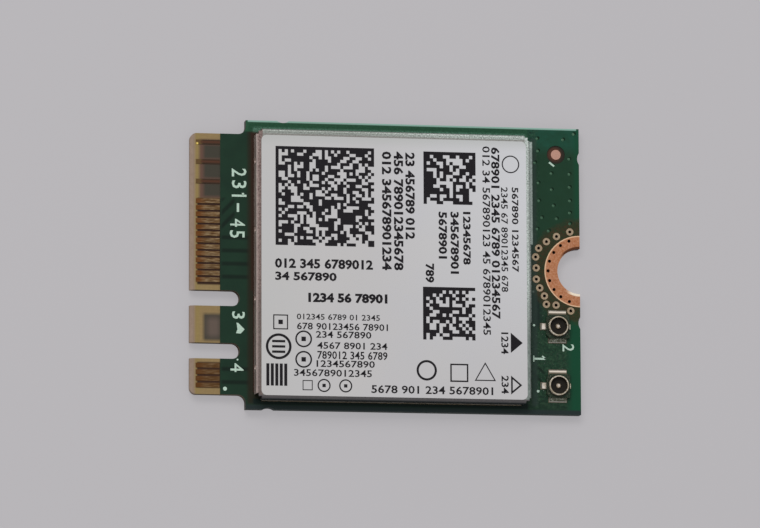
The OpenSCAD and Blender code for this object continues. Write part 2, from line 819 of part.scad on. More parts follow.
// Every solder land under the shield, except those of the radio chip, grown by a margin
module small_lands(margin) {
    pair_lands(inductor_places, inductor_l, inductor_w, inductor_terminal_l, margin);
    pair_lands(capacitor_places, capacitor_l, capacitor_w, passive_terminal_l, margin);
    pair_lands(resistor_places, resistor_l, resistor_w, passive_terminal_l, margin);
    for (place = front_end_places) in_shield(place) row_lands(front_end_w, front_end_w, margin);
    for (place = filter_places) in_shield(place) rotate(place[2])
        row_lands(filter_l, filter_w + 2 * land_margin, margin);
    in_shield(memory_place) row_lands(memory_l, memory_w, margin);
    in_shield(crystal_place) for (sx = [-1, 1], sy = [-1, 1])
        translate([sx * (crystal_l - crystal_land_l) / 2, sy * (crystal_w - crystal_land_w) / 2])
            square([crystal_land_l + 2 * margin, crystal_land_w + 2 * margin], center = true);
}

module component_openings() {
    small_lands(mask_gap);
    in_shield(radio_chip_place) square(radio_pad_w + 2 * mask_gap, center = true);
    row = (radio_chip_pins - 1) * radio_pin_pitch + radio_pin_w + 2 * mask_gap;
    for (turn = [0:90:270]) in_shield(radio_chip_place) rotate(turn)
        translate([radio_chip_w / 2 - radio_pin_l - mask_gap, -row / 2])
            square([radio_pin_l + radio_land_out + 2 * mask_gap, row]);
}

module component_lands() {
    color("#c4bfb0") translate([0, 0, laminate_top_z]) linear_extrude(land_t) {
        small_lands(0);
        in_shield(radio_chip_place) square(radio_pad_w, center = true);
        at_radio_pins() translate([-radio_pin_l, -radio_pin_w / 2])
            square([radio_pin_l + radio_land_out, radio_pin_w]);
        at_ports() port_land_shapes(0);
    }
}

module at_ports() {
    for (place = port_places) translate(place) children();
}

// The three lands of a port: two for the ground feet and one for the signal tab
module port_land_shapes(margin) {
    grow = 2 * (port_land_out + margin);
    for (s = [-1, 1]) translate([0, s * (port_base_w + foot_reach) / 2])
        square([foot_l + 2 * (port_land_side + margin), foot_reach + grow], center = true);
    translate([-(port_base_w + tab_reach) / 2, 0])
        square([tab_reach + grow, tab_w + 2 * (port_land_side + margin)], center = true);
}

// The two ground feet and the small rear foot, as flat strips at the height of the lands
module port_feet(grow) {
    for (s = [-1, 1])
        translate([-foot_l / 2 - grow, s > 0 ? foot_in_y - grow : -foot_out_y, seat_z])
            cube([foot_l + 2 * grow, foot_out_y - foot_in_y + grow, foot_t + grow]);
    translate([rear_foot_in_x - grow, -rear_foot_w / 2 - grow, seat_z])
        cube([port_base_w / 2 + rear_foot_reach - rear_foot_in_x + grow, rear_foot_w + 2 * grow,
            foot_t + grow]);
}

// The formed contact ring, flared where it meets its feet, with a rounded snap groove
module port_shell() {
    foot_z = seat_z + foot_t;
    top_z = board_t + port_h;
    in_r = port_inner_d / 2;
    out_r = port_d / 2;
    color("#c8a868") union() {
        port_feet(0);
        rotate_extrude() difference() {
            polygon([[in_r + flare_w, foot_z], [out_r + flare_w, foot_z], [out_r, foot_z + flare_h],
                [out_r, top_z], [in_r, top_z], [in_r, foot_z + flare_h]]);
            translate([out_r + groove_r - groove_t, top_z - groove_drop]) circle(groove_r, $fn = 24);
        }
    }
}

// The flat signal tab and the round centre contact, bevelled at its tip
module port_contact() {
    pin_r = port_pin_d / 2;
    color("#d8c08a") union() {
        translate([-port_base_w / 2 - tab_reach, -tab_w / 2, seat_z])
            cube([port_base_w / 2 + tab_reach, tab_w, tab_t]);
        translate([0, 0, seat_z]) rotate_extrude()
            polygon([[0, 0], [pin_r, 0], [pin_r, board_t + port_pin_h - pin_chamfer - seat_z],
                [pin_r - pin_chamfer, board_t + port_pin_h - seat_z],
                [0, board_t + port_pin_h - seat_z]]);
    }
}

// The room in the insulator for the flared ring, open above the ring's foot
module port_hollow() {
    foot_z = seat_z + foot_t;
    in_r = port_inner_d / 2 - mould_gap;
    out_r = port_d / 2 + mould_gap;
    rotate_extrude() polygon([[in_r + flare_w, foot_z - mould_gap],
        [out_r + flare_w, foot_z - mould_gap], [out_r, foot_z + flare_h],
        [out_r, foot_z + port_h], [0, foot_z + port_h], [0, foot_z + flare_h],
        [in_r, foot_z + flare_h]]);
}

// The moulded insulator, with its hollows for the ring, the feet and the contact
module port_base() {
    half = port_base_w / 2;
    corner = half - base_chamfer;
    color("#2a211c") difference() {
        translate([0, 0, board_t]) linear_extrude(port_base_h)
            polygon([[-half, -corner], [-corner, -half], [half, -half], [half, half],
                [-corner, half], [-half, corner]]);
        port_feet(mould_gap);
        port_hollow();
        translate([0, 0, seat_z]) cylinder(d = port_pin_d + 2 * mould_gap, h = port_h);
        translate([-half - cut_extra, -tab_w / 2 - mould_gap, seat_z])
            cube([half + cut_extra, tab_w + 2 * mould_gap, tab_t + mould_gap]);
    }
}

// Puts children at port number 1 or 2
module at_port(number) {
    translate(port_places[number - 1]) children();
}

// Solder along the outer side of each ground foot and round the end of the signal tab
module antenna_solder() {
    color("#cfccc6") at_ports() {
        for (s = [-1, 1]) translate([0, s * foot_out_y, seat_z])
            rotate([0, 0, s * 90]) solder_wedge(foot_l);
        translate([-port_base_w / 2 - tab_reach, 0, seat_z]) rotate(180) solder_wedge(tab_w);
    }
}

// A solder fillet against a wall at x = 0, running along Y
module solder_wedge(span) {
    rotate([90, 0, 0]) linear_extrude(span, center = true)
        polygon([[0, 0], [port_solder_w, 0], [port_solder_w / 3, port_solder_h / 2],
            [0, port_solder_h]]);
}

pcb_laminate();
solder_mask_top();
solder_mask_bottom();
edge_contacts_top();
edge_contacts_bottom();
mounting_ring();
stitching_vias();
fiducial();
test_pads();
shield_land();
component_lands();
shield_solder();
shield_frame();
shield_lid();
label();
radio_chip();
radio_chip_terminals();
crystal_base();
crystal_lid();
front_end_modules();
memory_chip();
power_inductors();
inductor_terminals();
band_filters();
capacitor_bodies();
capacitor_terminals();
resistor_bodies();
resistor_terminals();
at_port(1) port_shell();  // antenna_1_shell
at_port(1) port_base();  // antenna_1_base
at_port(1) port_contact();  // antenna_1_contact
at_port(2) port_shell();  // antenna_2_shell
at_port(2) port_base();  // antenna_2_base
at_port(2) port_contact();  // antenna_2_contact
antenna_solder();
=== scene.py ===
# %% [markdown]
# A keyed radio card, 22 x 30 mm: a green board with plated contacts at one end, a folded metal
# shield under a printed label, a plated half-round notch, and two round antenna ports. The solids
# come from the CAD model. This lesson gives each of them a finish, adds the print that is too
# thin for CAD, and sets up the camera and the light.
#
# Blender works in metres here. Sizes in the text and in most lists are millimetres.

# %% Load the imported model
import math
import bmesh
import bpy
from mathutils import Matrix, Vector


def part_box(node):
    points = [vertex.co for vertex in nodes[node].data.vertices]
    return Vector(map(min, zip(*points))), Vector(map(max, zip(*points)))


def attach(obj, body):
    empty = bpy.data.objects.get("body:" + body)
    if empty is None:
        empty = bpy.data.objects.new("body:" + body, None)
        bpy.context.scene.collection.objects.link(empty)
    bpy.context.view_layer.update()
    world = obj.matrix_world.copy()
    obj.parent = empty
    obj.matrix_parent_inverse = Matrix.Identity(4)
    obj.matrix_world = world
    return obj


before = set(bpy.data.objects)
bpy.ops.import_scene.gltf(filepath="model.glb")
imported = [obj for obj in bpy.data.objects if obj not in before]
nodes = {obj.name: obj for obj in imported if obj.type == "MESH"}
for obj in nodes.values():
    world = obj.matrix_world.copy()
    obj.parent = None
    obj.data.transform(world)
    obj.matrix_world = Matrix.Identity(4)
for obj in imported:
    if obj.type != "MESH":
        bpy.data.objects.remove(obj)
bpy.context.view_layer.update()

print("nodes loaded:", len(nodes))

# %% [markdown]
# Three small helpers serve every finish. One turns a written sRGB colour into the linear values
# that shaders use. One turns a real pattern size in millimetres into a texture scale, because a
# texture repeats about once per 1 / scale metres. One adds a node with its settings and links.

# %% Colour, pattern scale and node helpers
MM = 0.001


def colour(hex_code):
    parts = [int(hex_code[i:i + 2], 16) / 255 for i in (1, 3, 5)]
    linear = [c / 12.92 if c <= 0.04045 else ((c + 0.055) / 1.055) ** 2.4 for c in parts]
    return (*linear, 1.0)


def per(size_mm):
    return 1.0 / (size_mm * MM)


def add(tree, kind, inputs=None, **settings):
    node = tree.nodes.new(kind)
    for name, value in settings.items():
        setattr(node, name, value)
    for socket, value in (inputs or {}).items():
        if isinstance(value, bpy.types.NodeSocket):
            tree.links.new(value, node.inputs[socket])
        else:
            node.inputs[socket].default_value = value
    return node


print("white is", colour("#ffffff"), "and a 0.5 mm pattern has scale", per(0.5))

# %% [markdown]
# Several tones and pieces sit round the antenna ports and the notch. Their places are read from
# the CAD solids, so that they stay right if the model changes: the middle of each port's base,
# the middle of the half-round notch at the board's far end, and the radius of the copper round it.

# %% Places on the card
def middle_of(node_name):
    low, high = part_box(node_name)
    return (low[0] + high[0]) / 2 / MM, (low[1] + high[1]) / 2 / MM


ports = [middle_of("antenna_1_base"), middle_of("antenna_2_base")]
notch_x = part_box("pcb_laminate")[1][0] / MM
land_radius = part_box("mounting_ring")[1][1] / MM
print("ports at", [tuple(round(v, 2) for v in port) for port in ports])
print("notch at", round(notch_x, 2), "with copper out to", round(land_radius, 2), "mm")

# %% [markdown]
# The photograph looks almost straight down on the card from its lower left, from far away, so
# that the near walls of the shield just show. A long lens from 420 mm keeps the card's edges
# nearly parallel.

# %% Camera
aim = Vector((-0.507, 0.200, 1.0)) * MM
towards_camera = Vector((-0.18, -0.15, 1.0)).normalized()
camera_distance = 420 * MM
roll = 0.0035
camera_data = bpy.data.cameras.new("camera")
camera_data.sensor_fit = "HORIZONTAL"
camera_data.sensor_width = 36.0
camera_data.lens = 262.9
camera_data.clip_start = 0.01
camera_data.clip_end = 10.0
camera = bpy.data.objects.new("camera", camera_data)
bpy.context.collection.objects.link(camera)
up = Vector((math.sin(roll), math.cos(roll), 0.0))
right = up.cross(towards_camera).normalized()
true_up = towards_camera.cross(right)
turn = Matrix((right, true_up, towards_camera)).transposed().to_4x4()
camera.matrix_world = Matrix.Translation(aim + towards_camera * camera_distance) @ turn
bpy.context.scene.camera = camera
bpy.context.scene.view_settings.view_transform = "Standard"
print("camera at", tuple(round(v / MM, 1) for v in camera.location), "mm")

# %% [markdown]
# Every finish starts as a principled shader with a roughness, a share of metal and a strength of
# mirror light. The card lies on a pale grey sheet, and the sheet glows a little for the camera, so
# that the card's shadow stays as faint as it is in the photograph.

# %% A finish and the floor
def finish(name, roughness, metallic=0.0, specular=0.5):
    material = bpy.data.materials.new(name)
    material.use_nodes = True
    shader = material.node_tree.nodes["Principled BSDF"]
    shader.inputs["Roughness"].default_value = roughness
    shader.inputs["Metallic"].default_value = metallic
    shader.inputs["Specular IOR Level"].default_value = specular
    return material, material.node_tree, shader


floor_half = 0.6
floor_drop = 0.02 * MM
glow_share = 0.7
floor_corners = [(x * floor_half, y * floor_half, 0) for x, y in ((-1, -1), (1, -1), (1, 1), (-1, 1))]
floor_mesh = bpy.data.meshes.new("floor")
floor_mesh.from_pydata(floor_corners, [], [(0, 1, 2, 3)])
floor = bpy.data.objects.new("floor", floor_mesh)
floor.location.z = -floor_drop
bpy.context.collection.objects.link(floor)
floor_paper, tree, shader = finish("matt paper sheet", 0.9, specular=0.1)
shader.inputs["Base Color"].default_value = colour("#b8b5b7")
glow = add(tree, "ShaderNodeEmission", {"Color": colour("#b8b6b9"), "Strength": 1.0})
seen = add(tree, "ShaderNodeLightPath").outputs["Is Camera Ray"]
share = add(tree, "ShaderNodeMath", {0: seen, 1: glow_share}, operation="MULTIPLY").outputs[0]
mixed = add(tree, "ShaderNodeMixShader", {0: share, 1: shader.outputs[0], 2: glow.outputs[0]})
tree.links.new(mixed.outputs[0], tree.nodes["Material Output"].inputs["Surface"])
floor_mesh.materials.append(floor_paper)
print("floor material:", floor_paper.name)

# %% [markdown]
# A plain bright world gives soft light from all round, and one large lamp beyond the upper left
# corner adds the slight direction that the photograph has: walls that face it are light and walls
# that face away are dark.

# %% World and lamp
world = bpy.data.worlds.new("even studio")
world.use_nodes = True
world.node_tree.nodes["Background"].inputs["Color"].default_value = colour("#fdfcff")
world.node_tree.nodes["Background"].inputs["Strength"].default_value = 0.6
bpy.context.scene.world = world

lamp_data = bpy.data.lights.new("window lamp", "AREA")
lamp_data.shape = "RECTANGLE"
lamp_data.size = 0.35
lamp_data.size_y = 0.2
lamp_data.energy = 1.5
lamp = bpy.data.objects.new("window lamp", lamp_data)
lamp.location = (-0.14, 0.28, 0.40)
lamp.rotation_euler = (-lamp.location).to_track_quat("-Z", "Y").to_euler()
bpy.context.collection.objects.link(lamp)
print("lamp at", tuple(round(v, 2) for v in lamp.location), "m")

# %% [markdown]
# Real surfaces are never one flat colour. A pattern here is a value between 0 and 1 at each
# point: soft patches of noise, the inside of a box, a disc round a point, or even stripes. All of
# them read the card's own coordinates, so a tone stays where it belongs from any view.

# %% Patterns: patches and boxes
def patches(tree, size_mm, sharp=0.25, stretch=(1, 1, 1), middle=0.5, detail=3.0):
    """Noise patches. A small sharp gives them hard edges, a high middle makes them rare."""
    place = add(tree, "ShaderNodeTexCoord").outputs["Object"]
    turned = add(tree, "ShaderNodeMapping", {"Vector": place, "Scale": stretch}).outputs[0]
    noise = add(tree, "ShaderNodeTexNoise", {"Vector": turned, "Scale": per(size_mm), "Detail": detail})
    edge = add(tree, "ShaderNodeMapRange", {
        "Value": noise.outputs["Fac"], "From Min": middle - sharp / 2, "From Max": middle + sharp / 2})
    return edge.outputs[0]


def inside(tree, soft_mm=0.05, **spans):
    """1 inside a box such as x=(1, 2), y=(3, None), with soft sides. None leaves a side open."""
    place = add(tree, "ShaderNodeTexCoord").outputs["Object"]
    where = add(tree, "ShaderNodeSeparateXYZ", {0: place}).outputs
    mask = 1.0
    for axis, span in spans.items():
        for side, edge in enumerate(span):
            if edge is None:
                continue
            step = add(tree, "ShaderNodeMapRange", {
                "Value": where["xyz".index(axis)],
                "From Min": (edge - soft_mm) * MM, "From Max": (edge + soft_mm) * MM,
                "To Min": float(side), "To Max": 1.0 - side}).outputs[0]
            mask = add(tree, "ShaderNodeMath", {0: mask, 1: step}, operation="MULTIPLY").outputs[0]
    return mask


print("patches and boxes ready")

# %% [markdown]
# A disc measures the distance to a point on the board, and a little noise makes its edge wander.
# Stripes count along a direction and fold the count to and fro, which gives even soft lines.

# %% Patterns: discs and stripes
def round_point(tree, x, y, radius_mm, soft_mm=0.05, wobble_mm=0.0):
    """1 within a radius of a point on the board, with an edge that may wander."""
    wobble_size = 0.8
    place = add(tree, "ShaderNodeTexCoord").outputs["Object"]
    flat = add(tree, "ShaderNodeVectorMath", {0: place, 1: (1, 1, 0)}, operation="MULTIPLY").outputs[0]
    far = add(tree, "ShaderNodeVectorMath", {0: flat, 1: (x * MM, y * MM, 0)}, operation="DISTANCE")
    noise = add(tree, "ShaderNodeTexNoise", {"Vector": place, "Scale": per(wobble_size)})
    ragged = add(tree, "ShaderNodeMath", {
        0: noise.outputs["Fac"], 1: wobble_mm * MM, 2: far.outputs["Value"]}, operation="MULTIPLY_ADD")
    edge = radius_mm + wobble_mm / 2
    fall = add(tree, "ShaderNodeMapRange", {
        "Value": ragged.outputs[0], "From Min": (edge - soft_mm) * MM,
        "From Max": (edge + soft_mm) * MM, "To Min": 1.0, "To Max": 0.0})
    return fall.outputs[0]


def stripes(tree, direction, pitch_mm, share):
    """Even soft stripes that repeat along a direction, each a share of the pitch wide."""
    place = add(tree, "ShaderNodeTexCoord").outputs["Object"]
    along = add(tree, "ShaderNodeVectorMath", {0: place, 1: direction}, operation="DOT_PRODUCT")
    count = add(tree, "ShaderNodeMath", {0: along.outputs["Value"], 1: per(pitch_mm)}, operation="MULTIPLY")
    folded = add(tree, "ShaderNodeMath", {0: count.outputs[0], 1: 1.0}, operation="PINGPONG")
    edge = add(tree, "ShaderNodeMapRange", {
        "Value": folded.outputs[0], "From Min": share * 0.5, "From Max": share * 1.5,
        "To Min": 1.0, "To Max": 0.0})
    return edge.outputs[0]


print("discs and stripes ready")

# %% [markdown]
# `coats` lays colours over a base, each as far as its patterns and its strength say, the way a
# painter glazes one tone over another. `grain` tilts the surface with a fine noise, whose height
# is a real height in millimetres.

# %% Coats and grain
def coats(tree, shader, base, *layers):
    """Each layer is one or more patterns, then a strength, then a colour."""
    surface = colour(base)
    for *patterns, strength, tint in layers:
        share = strength
        for pattern in patterns:
            share = add(tree, "ShaderNodeMath", {0: share, 1: pattern}, operation="MULTIPLY").outputs[0]
        mixed = add(tree, "ShaderNodeMix", {0: share, 6: surface, 7: colour(tint)}, data_type="RGBA")
        surface = mixed.outputs[2]
    tree.links.new(surface, shader.inputs["Base Color"])


def grain(tree, shader, size_mm, height_mm, stretch=(1, 1, 1)):
    height = patches(tree, size_mm, 1.0, stretch, detail=4.0)
    bump = add(tree, "ShaderNodeBump", {"Height": height, "Distance": height_mm * MM})
    tree.links.new(bump.outputs[0], shader.inputs["Normal"])


print("coats and grain ready")

# %% [markdown]
# Solder mask is a green epoxy film, printed or sprayed over the copper and cured. Light goes
# through it to the copper and the board below, so its tone follows what lies under it. A painted
# image could show that, but coats over boxes in millimetres stay sharp from near by and need no
# file. The first tones are those of the open board: cloudy green, brighter along the end edge,
# and speckled beside the shield and round the ports.

# %% Solder mask, the open board
mask_green, tree, shader = finish("solder mask, cured green epoxy", 0.42, specular=0.12)
light_noise = patches(tree, 0.22, 0.3, middle=0.56)
dark_noise = patches(tree, 0.16, 0.3, middle=0.55)
port_field = inside(tree, 0.4, x=(11.1, 14.0), y=(-10.3, -3.0))
via_field = inside(tree, 0.4, x=(11.4, 14.6), y=(1, 11))
noisy = [inside(tree, 0.3, x=(10.9, 11.7), y=(-1, 11)),
         inside(tree, 0.4, x=(10.9, 14.2), y=(-10.6, -1))]
open_board = [
    (patches(tree, 1.6, 0.5), 1.0, "#193324"),
    (inside(tree, 0.5, x=(11.4, None), y=(-9.9, None)), 0.8, "#1a3a28"),
    (inside(tree, 0.4, x=(11, None), y=(9.3, None)), 0.8, "#184a3a"),
    *((light_noise, zone, 0.5, "#3c5840") for zone in noisy),
    *((dark_noise, zone, 0.8, "#0f1e16") for zone in noisy),
    (patches(tree, 0.5, 0.5), via_field, 0.5, "#16321f"),
    (patches(tree, 0.16, 0.10, middle=0.69), port_field, 0.6, "#7f9887"),
    (inside(tree, 0.3, x=(14.1, None), y=(None, -1.5)), 1.0, "#0e412b"),
    (inside(tree, 0.15, x=(14.6, None), y=(1.5, None)), 0.7, "#0e412b")]
print("tones of the open board:", len(open_board))

# %% [markdown]
# Tracks are thin copper strips under the mask, seen as faint lines from the contacts to the
# shield and from the first port. Round the notch the mask lies on solid copper and looks olive,
# with rusty and green flecks. A dark patch beside the shield's end is a painted reflection of the
# shield in the mask, and the small pale mark near it is a spot of painted sheen.

# %% Solder mask, what lies under it, and painted reflections
across = stripes(tree, (0, 1, 0), 0.5, 0.3)
slanted = stripes(tree, (0.7, -0.7, 0), 0.36, 0.4)
fan_out = stripes(tree, (0.7, 0.7, 0), 0.30, 0.3)
sheen = round_point(tree, 11.37, -1.62, 0.07, 0.05)
round_notch = round_point(tree, notch_x, 0, 3.9, 0.25, 0.5)
under_mask_and_reflections = [
    (across, inside(tree, 0.1, x=(-12.6, -10.5), y=(-1.6, 2.2)), 0.8, "#0b1912"),
    (across, inside(tree, 0.1, x=(-12.6, -10.5), y=(-9.6, -7.4)), 0.8, "#0b1912"),
    (slanted, inside(tree, 0.1, x=(-12.6, -11.6), y=(2.6, 5.0)), 0.8, "#0b1912"),
    (fan_out, inside(tree, 0.1, x=(11.2, 12.2), y=(-8.8, -7.4)), 0.7, "#0c1811"),
    # painted reflection of the shield, dark in the mask, then a spot of painted sheen
    (inside(tree, 0.25, x=(11.1, 12.0), y=(-4.4, -1.7)), 0.8, "#182422"),
    (sheen, 0.8, "#c4d6cc"),
    (round_notch, 0.8, "#2d2a18"),
    (round_notch, patches(tree, 0.14, 0.3, middle=0.55), 0.5, "#4c2c1c"),
    (round_notch, patches(tree, 0.12, 0.3, middle=0.58), 0.7, "#1d3a22")]
print("tones under the mask:", len(under_mask_and_reflections))

# %% [markdown]
# Along the foot of the shield the mask is near black on the side of the contacts and on the lower
# side, where the wall shades it, and pale at the end side, where it mirrors the wall. The far edge
# of the board is a clear green strip with a thin pale line, where its rim catches the light. These
# are tones of the photograph's light, painted where they fall.

# %% Solder mask, along the shield and the edges
low_foot = inside(tree, 0.08, x=(-10.2, 10.9), y=(-10.65, -10.2))
low_edge = inside(tree, 0.06, x=(-10.8, None), y=(None, -10.68))
far_strip = inside(tree, 0.08, x=(-10.9, 11), y=(10.15, None))
far_foot = inside(tree, 0.08, x=(-10.2, 10.8), y=(10.15, 10.50))
end_strips = [inside(tree, 0.04, x=(10.8, 11.20), y=(-4, 2)),
              inside(tree, 0.04, x=(10.8, 11.34), y=(2, 9.9))]
edges = [
    (inside(tree, 0.12, x=(-10.62, -9), y=(-10.6, 10.2)), 0.75, "#231c12"),
    (inside(tree, 0.06, x=(-10.36, -9), y=(-2.0, 10.1)), 0.7, "#2f190f"),
    (low_foot, 1.0, "#0b1a16"),
    # painted shade: a dark slate band along the board's lower edge, for its wall in shade
    (low_edge, 1.0, "#212c2b"),
    (far_strip, 1.0, "#244c35"),
    (inside(tree, 0.12, x=(-10.2, 10.9), y=(10.1, 10.42)), 0.5, "#56705f"),
    (patches(tree, 0.12, 0.4), inside(tree, 0.1, x=(-10.6, 11), y=(10.15, 10.9)), 0.6, "#0c3320"),
    (patches(tree, 0.10, 0.3, middle=0.52), far_foot, 0.6, "#5f8c78"),
    (inside(tree, 0.03, x=(-10.6, 14.8), y=(10.88, None)), 0.75, "#96bcae"),
    (inside(tree, 0.10, x=(11.2, 11.65), y=(-10.4, 10.2)), 0.7, "#2b3b35"),
    (end_strips[0], 0.9, "#74807a"),
    (end_strips[1], 0.9, "#9aa69f"),
    *((strip, patches(tree, 0.16, 0.3), 0.8, "#b4c0ba") for strip in end_strips)]
coats(tree, shader, "#152b1f", *open_board, *under_mask_and_reflections, *edges)
grain(tree, shader, 0.5, 0.004)
print("mask material:", mask_green.name, "with", len(open_board + under_mask_and_reflections + edges), "coats")

# %% [markdown]
# The board itself is glass cloth in epoxy. Where the mask leaves it bare, the amber resin and the
# weave show, with inner copper as darker blocks. Its routed edges show the cut ends of the glass
# and are painted darker with painted shade, brown in the key slots and slate along the body. One
# material serves both, because a box that ends just under the top face keeps face and walls apart.
# The bare board between the contacts is its own brown darkened with painted shade, most round three
# of them, and a band along the shield's foot on the contact side is painted shade as well. A tiny
# glint sits at the end of one contact, on the copper and on the board beside it.

# %% Bare laminate
laminate, tree, shader = finish("glass-epoxy laminate, routed", 0.55, specular=0.2)
face = inside(tree, 0.003, z=(0.736, None))
walls = inside(tree, 0.003, z=(None, 0.736))
tongue_walls = inside(tree, 0.1, x=(None, -10.8))
bevel = inside(tree, 0.12, x=(None, -14.66))
plies = patches(tree, 0.16, 0.5, (0.25, 0.25, 1))
block_rows = [(7.99, 9.05), (6.50, 7.62), (5.10, 6.12), (-5.85, -3.83)]
blocks = [inside(tree, 0.14, x=(-13.96, -12.6), y=row) for row in block_rows]
glint_x, glint_y = -14.46, 9.13
dot_clearing = round_point(tree, 13.2, 8.97, 0.74, 0.05)
dot_resin = round_point(tree, 13.12, 8.99, 0.52, 0.10, 0.1)
coats(tree, shader, "#826d48",
      (patches(tree, 0.5, 0.6, (1, 6, 1)), patches(tree, 0.5, 0.6, (6, 1, 1)), 1.0, "#927c52"),
      (inside(tree, 0.12, x=(-14.6, -14.25)), 0.35, "#85763c"),
      # painted shade: the bare board between the contacts darkened, most round three of them
      (inside(tree, 0.12, x=(-14.30, -12.6), y=(4.95, 9.45)), 0.9, "#553a33"),
      (inside(tree, 0.06, x=(-14.45, -12.6), y=(-1.62, 4.98)), 1.0, "#2c1406"),
      (inside(tree, 0.06, x=(-14.45, -12.6), y=(-9.45, -7.50)), 1.0, "#38200f"),
      *((block, face, 1.0, "#38352b") for block in blocks),
      (inside(tree, 0.3, x=(-13.7, -12.7), y=(-5.6, -4.1)), face, 0.6, "#6a5950"),
      (round_point(tree, glint_x, glint_y, 0.07, 0.05), 0.9, "#e8c74a"),
      # painted shade along the shield's foot on the contact side
      (inside(tree, 0.06, x=(-10.6, -9.8), y=(-10.6, 10.3)), face, 1.0, "#331c12"),
      (dot_clearing, face, 1.0, "#221d13"),
      (dot_resin, face, 0.9, "#4c2a1b"),
      # the routed walls: the cut glass ends, painted dark with painted shade
      (walls, 1.0, "#27302f"),
      (walls, plies, 1.0, "#323b38"),
      (walls, tongue_walls, 1.0, "#4e4436"),
      (walls, tongue_walls, plies, 1.0, "#63543f"),
      (bevel, 1.0, "#8f7c6c"),
      (patches(tree, 0.3, 0.5), bevel, 0.7, "#806d5c"))
grain(tree, shader, 0.12, 0.004)
print("laminate material:", laminate.name)

# %% [markdown]
# The contacts carry a thin gold plating over nickel, wiped along their length by the socket.
# Towards the far side they are painted darker, and three of them darker still, as a painted
# reflection of something dark. The wiping is noise stretched along the contact, which is how real
# scratches lie.

# %% Contact plating
contact_gold, tree, shader = finish("contact plating, thin gold over nickel", 0.42, 1.0)
dark_reflection_rows = (6.25, 7.75, 9.25)
dark_reflection_cores = [inside(tree, 0.05, x=(-14.2, None), y=(row - 0.08, row + 0.09)) for row in dark_reflection_rows]
coats(tree, shader, "#674b2e",
      (patches(tree, 0.07, 0.4, (0.06, 1, 1)), 1.0, "#7f6747"),
      (patches(tree, 0.10, 0.3, (0.2, 1, 1), 0.56), 0.9, "#a28d6d"),
      (patches(tree, 0.08, 0.3, (0.1, 1, 1), 0.56), 0.9, "#3a220f"),
      (inside(tree, 0.25, x=(None, -14.0)), 0.8, "#673c1a"),
      (inside(tree, 0.1, y=(None, -7)), 0.6, "#593c22"),
      # painted reflection: darker towards the far side, three contacts darker still
      (inside(tree, 0.1, y=(5.2, None)), 1.0, "#3e3229"),
      (inside(tree, 0.1, x=(None, -14.1), y=(5.2, None)), 0.7, "#6d5636"),
      *((core, 0.85, "#573a2d") for core in dark_reflection_cores),
      (round_point(tree, glint_x, glint_y, 0.07, 0.05), 0.9, "#ffe27a"))
grain(tree, shader, 0.08, 0.003, (0.06, 1, 1))
print("contact material:", contact_gold.name)

# %% [markdown]
# The ring round the notch is bare copper with a warm, cloudy face and a lighter wall. The wall
# mirrors the room, which this plain world can't give, so a brown band at one end of the notch and
# a white glint at the other are painted in. The alignment dot is the same copper in a paler tone,
# and the open vias have collars of pale copper.

# %% Ring and via copper
ring_copper, tree, shader = finish("bare plated copper, satin", 0.4, 1.0)
notch_wall = round_point(tree, notch_x, 0, 1.92, 0.04)
land_face = round_point(tree, notch_x, 0, 2.66, 0.03)
alignment_dot = inside(tree, 0.05, y=(5, None))
coats(tree, shader, "#ecc6a2",
      (land_face, 1.0, "#bd8058"),
      (land_face, patches(tree, 0.6, 0.6), 1.0, "#a96a46"),
      (land_face, patches(tree, 0.16, 0.4, middle=0.58), 0.8, "#d8a384"),
      (notch_wall, inside(tree, 0.2, x=(13.6, None), y=(1.0, None)), 0.9, "#4a2819"),
      (notch_wall, inside(tree, 0.25, x=(14.1, None), y=(None, -1.40)), 1.0, "#fff0d8"),
      (alignment_dot, 1.0, "#c39886"))
grain(tree, shader, 0.25, 0.006)

via_copper, tree, shader = finish("plated via collar, pale copper", 0.45, 1.0)
coats(tree, shader, "#b7a68c", (patches(tree, 0.1, 0.4), 1.0, "#96816a"))
grain(tree, shader, 0.1, 0.003)
print("copper finishes ready")

# %% [markdown]
# The shield is rolled nickel-silver sheet. Rolling leaves a fine grain, and handling leaves cloudy
# patches. Its skirts are folded from the same sheet, and the light on each side is painted into the
# same material by place. On the side of the contacts the rim is pinkish and darker towards the lower
# end, and the skirt is painted light as a painted highlight. Along the lower side rim and skirt are
# painted dark as painted shade, with a pale painted highlight at the skirt's foot. The other two are
# pale and speckled, with painted shade towards the lower end and the contact side, and a thin line
# of painted shade beside the label.

